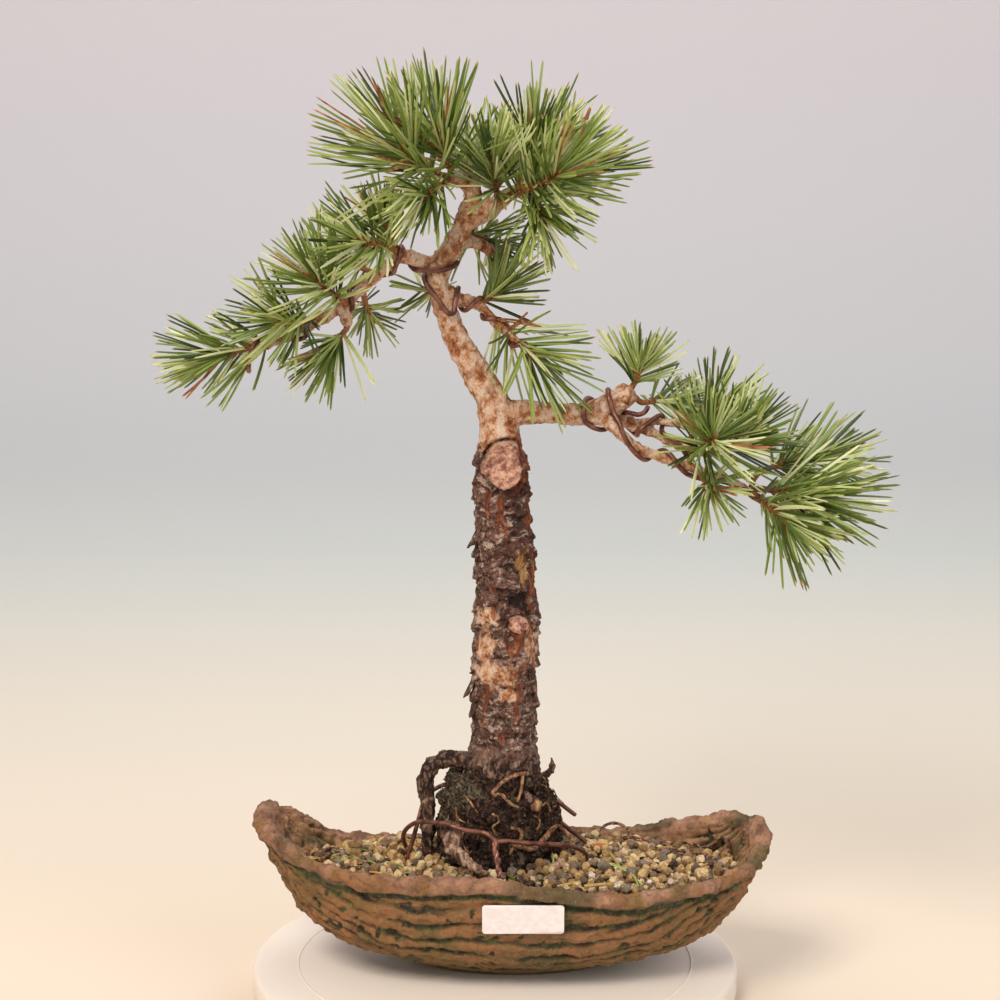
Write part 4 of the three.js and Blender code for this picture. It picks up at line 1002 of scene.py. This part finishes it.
# Each tuft: its shoot's path, how many pairs of needles, their length, and how far they open at base and tip.
tufts = {
    "crown_left": ([[-29, -4, 389], [-38, -10, 391], [-46, -14, 396], [-51, -16, 401]], 120, 50, 72, 30),
    "crown_up": ([[-29, -6, 390], [-32, -12, 398], [-35, -15, 408]], 80, 42, 62, 22),
    "crown_hanging": ([[-31, -8, 387], [-36, -18, 385], [-40, -24, 381]], 60, 30, 66, 28),
    "crown_back": ([[-21, 6, 382], [-21, 22, 389], [-19, 32, 396]], 80, 36, 66, 26),
    "top_front": ([[-6, -4, 377], [5, -14, 383], [14, -22, 387], [19, -28, 391]], 110, 36, 76, 34),
    "top_middle": ([[-1, 4, 381], [7, 8, 390], [11, 6, 404]], 110, 38, 72, 28),
    "top_right": ([[15, -6, 385], [22, -2, 389], [29, 2, 395]], 100, 38, 72, 30),
    "top_low": ([[5, -4, 382], [10, -10, 377], [13, -14, 371]], 70, 30, 70, 28),
    "top_inner": ([[-7, 0, 376], [-9, -10, 386], [-10, -15, 396]], 80, 34, 66, 26),
    "top_back": ([[3, 8, 382], [15, 28, 389], [22, 40, 395]], 90, 36, 68, 28),
    "rear_low": ([[-25, 8, 362], [-15, 20, 358], [-8, 29, 351]], 56, 30, 62, 26),
    "inner_upper": ([[-20, 6, 327], [-12, 10, 329], [-6, 11, 335]], 60, 34, 64, 28),
    "inner_lower": ([[-15, 6, 326], [-4, 2, 316], [4, -3, 309], [11, -7, 302]], 72, 36, 62, 24),
    "inner_left": ([[-32, 8, 331], [-38, 20, 332], [-45, 27, 332]], 26, 22, 60, 26),
    "left_bud": ([[-55, -2, 354], [-59, -6, 361], [-61, -8, 369]], 52, 24, 62, 24),
    "left_upper": ([[-55, -4, 353], [-64, -14, 358], [-73, -19, 360]], 80, 32, 68, 30),
    "left_back": ([[-66, 4, 342], [-78, 17, 346], [-88, 25, 350]], 64, 30, 64, 26),
    "left_front": ([[-80, -4, 329], [-86, -14, 336], [-94, -19, 342]], 84, 35, 66, 30),
    "left_tip": ([[-108, -1, 313], [-124, -3, 308], [-135, -4, 305], [-141, -4, 303]], 100, 34, 58, 20),
    "left_middle": ([[-93, -2, 322], [-103, -12, 321], [-112, -17, 322]], 80, 32, 66, 30),
    "left_hanging": ([[-79, 2, 318], [-82, 0, 313], [-87, -4, 307]], 64, 32, 60, 26),
    "left_rear": ([[-72, 6, 333], [-71, 16, 325], [-69, 24, 318]], 44, 24, 60, 26),
    "right_crown": ([[56, 2, 286], [59, 2, 292], [61, 2, 299]], 72, 27, 78, 34),
    "right_bud": ([[62, 6, 280], [70, 12, 280], [77, 15, 279]], 46, 22, 62, 26),
    "right_star": ([[86, -6, 258], [91, -17, 262], [94, -25, 267]], 110, 32, 84, 46),
    "right_upper": ([[85, 8, 261], [94, 17, 268], [100, 23, 276]], 80, 32, 66, 28),
    "right_middle": ([[97, 0, 257], [104, -2, 260], [111, -4, 265]], 72, 32, 66, 28),
    "right_tip_upper": ([[118, 6, 245], [129, 12, 248], [143, 16, 249], [153, 18, 250]], 96, 34, 62, 24),
    "right_tip": ([[117, -2, 239], [129, -4, 238], [143, -6, 236]], 100, 42, 56, 24),
    "right_lower": ([[114, -6, 237], [122, -14, 233], [131, -19, 225]], 76, 34, 60, 26),
    "right_hanging": ([[90, -6, 246], [92, -12, 244], [94, -17, 241]], 52, 28, 64, 30),
    "right_stub": ([[125, 5, 231], [137, 10, 225], [145, 13, 221]], 44, 22, 60, 26),
}


def needleShape():
    bpy.ops.mesh.primitive_cylinder_add(vertices=3, radius=1, depth=1, location=(0, 0, 0.5))
    needle = bpy.context.object
    bpy.ops.object.transform_apply()
    bpy.ops.object.mode_set(mode="EDIT")
    bpy.ops.mesh.select_all(action="DESELECT")
    bpy.ops.object.mode_set(mode="OBJECT")
    for edge in needle.data.edges:
        heights = [needle.data.vertices[index].co.z for index in edge.vertices]
        edge.select = abs(heights[0] - heights[1]) > 0.5
    bpy.ops.object.mode_set(mode="EDIT")
    bpy.ops.mesh.subdivide(number_cuts=needleLook["segments"] - 1)
    bpy.ops.mesh.select_all(action="DESELECT")
    bpy.ops.object.mode_set(mode="OBJECT")
    for corner in needle.data.vertices:
        corner.select = corner.co.z > 0.99
        taper = 0.8 + 0.2 * min(1, corner.co.z * 4) - 0.22 * max(0, corner.co.z - 0.6) / 0.2
        corner.co.x *= taper
        corner.co.y *= taper * 0.75
        corner.co.z = min(1.19 * corner.co.z, 0.75 + 0.25 * corner.co.z)
    bpy.ops.object.mode_set(mode="EDIT")
    bpy.ops.mesh.merge(type="CENTER")
    bpy.ops.object.mode_set(mode="OBJECT")
    return template(needle)


def sheathShape():
    bpy.ops.mesh.primitive_cone_add(vertices=5, radius1=0.75, radius2=0.6, depth=1, location=(0, 0, 0.5))
    bpy.ops.object.transform_apply()
    return template(bpy.context.object)


def budShape():
    bpy.ops.mesh.primitive_uv_sphere_add(segments=8, ring_count=6, radius=1)
    bud = bpy.context.object
    for corner in bud.data.vertices:
        corner.co.z = (corner.co.z + 1) / 2
        waist = 1 - 0.55 * corner.co.z
        corner.co.x *= waist
        corner.co.y *= waist
    return template(bud)


needle, sheath, bud = needleShape(), sheathShape(), budShape()


def pathAt(path, shares):  # a smooth path's places and directions at shares of its length
    path = np.array(path, dtype=float)
    steps = np.linspace(0, 1, len(path))
    fineSteps = np.linspace(0, 1, 60)
    line = np.column_stack([np.interp(fineSteps, steps, path[:, axis]) for axis in range(3)])
    for _ in range(60):
        line[1:-1] = (line[:-2] + 2 * line[1:-1] + line[2:]) / 4
    along = np.gradient(line, axis=0)
    at = [np.column_stack([np.interp(shares, fineSteps, side) for side in rows.T]) for rows in (line, along)]
    return at[0], unit(at[1])


def growTuft(name, path, pairs, length, openBase, openTip):
    pairs = round(pairs * needleLook["fill"])
    share = 0.16 + 0.84 * chance.random(pairs) ** 0.75
    share.sort()
    base, along = pathAt(path, share)
    around = np.arange(pairs) * needleLook["turn"] + chance.normal(0, 0.35, pairs)
    axes = framesAlong(along, around)
    opening = np.radians(openBase + (openTip - openBase) * share ** 1.5 + chance.normal(0, 9, pairs))
    opening = np.clip(opening, 0.05, 1.9)
    direction = along * np.cos(opening)[:, None] + axes[:, :, 0] * np.sin(opening)[:, None]
    direction[:, 2] += needleLook["upturn"]
    long = length * np.clip(chance.normal(0.95, 0.17, pairs), 0.45, 1.15) * (1.06 - 0.16 * share)
    # The two needles of a pair lean apart from one sheath and bend inwards to the shoot.
    pairAxes = framesAlong(direction, chance.uniform(0, 2 * math.pi, pairs))
    origins, sizes, turns, bends, tones = [], [], [], [], []
    pairTone = np.clip(chance.normal(0.5, 0.32, pairs), 0, 1)
    dead = chance.random(pairs) < needleLook["dead"]
    for sign in (-1, 1):
        lean = sign * np.abs(chance.normal(needleLook["lean"], 0.03, pairs))
        aim = unit(pairAxes[:, :, 2] + pairAxes[:, :, 0] * lean[:, None])
        inward = across(along, aim) + 0.5 * chance.normal(size=(pairs, 3))
        inward = across(inward, aim)
        turns.append(np.stack([inward, np.cross(aim, inward), aim], axis=2))
        origins.append(base + along * 0.2 + pairAxes[:, :, 0] * sign * 0.25)
        girth = needleLook["girth"] * chance.uniform(0.85, 1.1, pairs)
        own = long * chance.uniform(0.95, 1.03, pairs)
        sizes.append(np.column_stack([girth, girth, own]))
        bends.append(own * chance.normal(needleLook["bend"], 0.06, pairs))
        tones.append(np.where(dead, -1, np.clip(pairTone + chance.normal(0, 0.06, pairs), 0, 1)))
    placed = [np.vstack(rows) for rows in (origins, turns, sizes)]
    needles = copyAt(name, needle, *placed, np.hstack(bends), np.hstack(tones))
    needles.data.materials.append(needleSkin)
    sheathSizes = np.column_stack([np.full((pairs, 2), 0.95), long * 0.07 + 1.5])
    sheaths = copyAt("sheaths", sheath, base, pairAxes, sheathSizes)
    sheaths.data.materials.append(shootBark)
    spot, tip = pathAt(path, np.array([0, 0.33, 0.66, 1.0]))
    inWood, outward, _, _ = woodTree.find_nearest(Vector(spot[0]) * mm)
    spot = np.vstack([(inWood - outward * 2 * mm) / mm, spot])
    radii = (1.5, 1.5, 1.35, 1.2, 0.9)
    stem = tubes("stem", [[[*point, radius] for point, radius in zip(spot, radii)]], sides=2, steps=3)
    stemPlaces, stemNormals = readPoints(stem)
    writePoints(stem, stemPlaces + stemNormals * (0.45 * wobble(stemPlaces, 1.8, 61, 2))[:, None])
    setAttribute(stem, "tone", np.full(len(stem.data.vertices), 0.5))
    setAttribute(stem, "along", np.full(len(stem.data.vertices), 0.5))
    stem.data.materials.append(shootBark)
    budCount = 3 if length > 30 else 1
    budAim = unit(tip[-1] + chance.normal(0, 0.3, (budCount, 3)) + [[0, 0, 0.3]])
    budAim[0] = tip[-1]
    budSizes = [[1.3, 1.3, chance.uniform(5, 8)]]
    budSizes += [[1.0, 1.0, chance.uniform(3, 5)] for _ in range(budCount - 1)]
    budPlaces = np.repeat(spot[-1:], budCount, axis=0)
    buds = copyAt("buds", bud, budPlaces, framesAlong(budAim, np.zeros(budCount)), budSizes)
    buds.data.materials.append(shootBark)
    tuft = joined(name, buds, stem, sheaths, needles)
    finish(tuft, [], ["needles_" + name.removeprefix("shoot_")], angle=60)


for name, (path, pairs, length, openBase, openTip) in tufts.items():
    growTuft("shoot_" + name, path, pairs, length, openBase, openTip)

# ---------- floor, backdrop and light ----------
stageLook = {"wide": 6, "front": -2.2, "back": 2.4, "tall": 3.2, "turn": 0.9, "floor": -0.014}
turntableLook = {"middle": -0.009, "radius": 0.1205, "thick": 0.014, "groove": 0.098}


def sweepFloor():
    bpy.ops.mesh.primitive_plane_add(size=1)
    floor = bpy.context.object
    floor.name = "paper_sweep"
    bpy.ops.object.mode_set(mode="EDIT")
    bpy.ops.mesh.select_all(action="SELECT")
    bpy.ops.mesh.subdivide(number_cuts=48)
    bpy.ops.object.mode_set(mode="OBJECT")
    span = stageLook["back"] - stageLook["front"] + stageLook["tall"]
    turnStart = stageLook["back"] - stageLook["turn"]
    walked = []
    for corner in floor.data.vertices:
        walk = stageLook["front"] + (corner.co.y + 0.5) * span
        angle = max(0, min(math.pi / 2, (walk - turnStart) / stageLook["turn"]))
        beyond = max(0, walk - turnStart - stageLook["turn"] * math.pi / 2)
        corner.co = (
            corner.co.x * stageLook["wide"],
            min(walk, turnStart) + stageLook["turn"] * math.sin(angle),
            stageLook["turn"] * (1 - math.cos(angle)) + beyond + stageLook["floor"],
        )
        walked.append(walk / 4 + 0.1)
    pick(floor)
    bpy.ops.object.shade_smooth()
    setAttribute(floor, "walk", walked)
    # Backdrop paper of one sheet, painted with light and shade: cream underfoot, a painted grey shade further
    # back, lighter and pinkish up the wall.
    sheet = makeMaterial(
        "pale backdrop paper",
        ["walk", (0.12, "#E1D1BE"), (0.24, "#DCD5C8"), (0.36, "#D3D7D3"), (0.52, "#DCDFE1"),
         (0.72, "#F4EEF3"), (0.9, "#FBF3F8")],
        Roughness=0.95,
    )
    floor.data.materials.append(sheet)


sweepFloor()


def turnTable():  # a white moulded disc under the pot, with a shallow ring groove
    bpy.ops.mesh.primitive_cylinder_add(
        vertices=128, radius=turntableLook["radius"], depth=turntableLook["thick"],
        location=(turntableLook["middle"], 0, -turntableLook["thick"] / 2 - 0.0001))
    disc = bpy.context.object
    disc.name = "turntable"
    applyModifier(disc, "BEVEL", width=2.5 * mm, segments=3)
    bpy.ops.mesh.primitive_torus_add(
        major_radius=turntableLook["groove"], minor_radius=0.0007, major_segments=128, minor_segments=8,
        location=(turntableLook["middle"], 0, -0.0004))
    table = joined("turntable", bpy.context.object, disc)
    bpy.ops.object.shade_smooth_by_angle(angle=math.radians(30))
    # Moulded white plastic, slightly glossy.
    table.data.materials.append(makeMaterial("white moulded plastic", "#EFE3D6", Roughness=0.45, IOR=1.46))


turnTable()

lights = {  # place, aim, size in m, power in W, colour
    "key": [(-0.7, -1.1, 1.5), (0, 0, 0.22), 0.8, 27, "#FFF6EC"],
    "fill": [(1.2, -1.0, 0.9), (0, 0, 0.2), 1.2, 9, "#F6F8FF"],
    "top": [(0.1, 0.5, 1.6), (0, 0, 0.2), 1.0, 10, "#FFFFFF"],
}
for name, (place, aim, size, power, colour) in lights.items():
    bpy.ops.object.light_add(type="AREA", location=place)
    lamp = bpy.context.object
    lamp.name = "light_" + name
    lamp.data.size = size
    lamp.data.energy = power
    lamp.data.color = linear(colour)[:3]
    lamp.rotation_euler = (Vector(aim) - Vector(place)).to_track_quat("-Z", "Y").to_euler()
world = bpy.data.worlds.new("studio")
bpy.context.scene.world = world
world.use_nodes = True
world.node_tree.nodes["Background"].inputs["Color"].default_value = linear("#F4F1EE")
world.node_tree.nodes["Background"].inputs["Strength"].default_value = 0.5
print("stage ready")
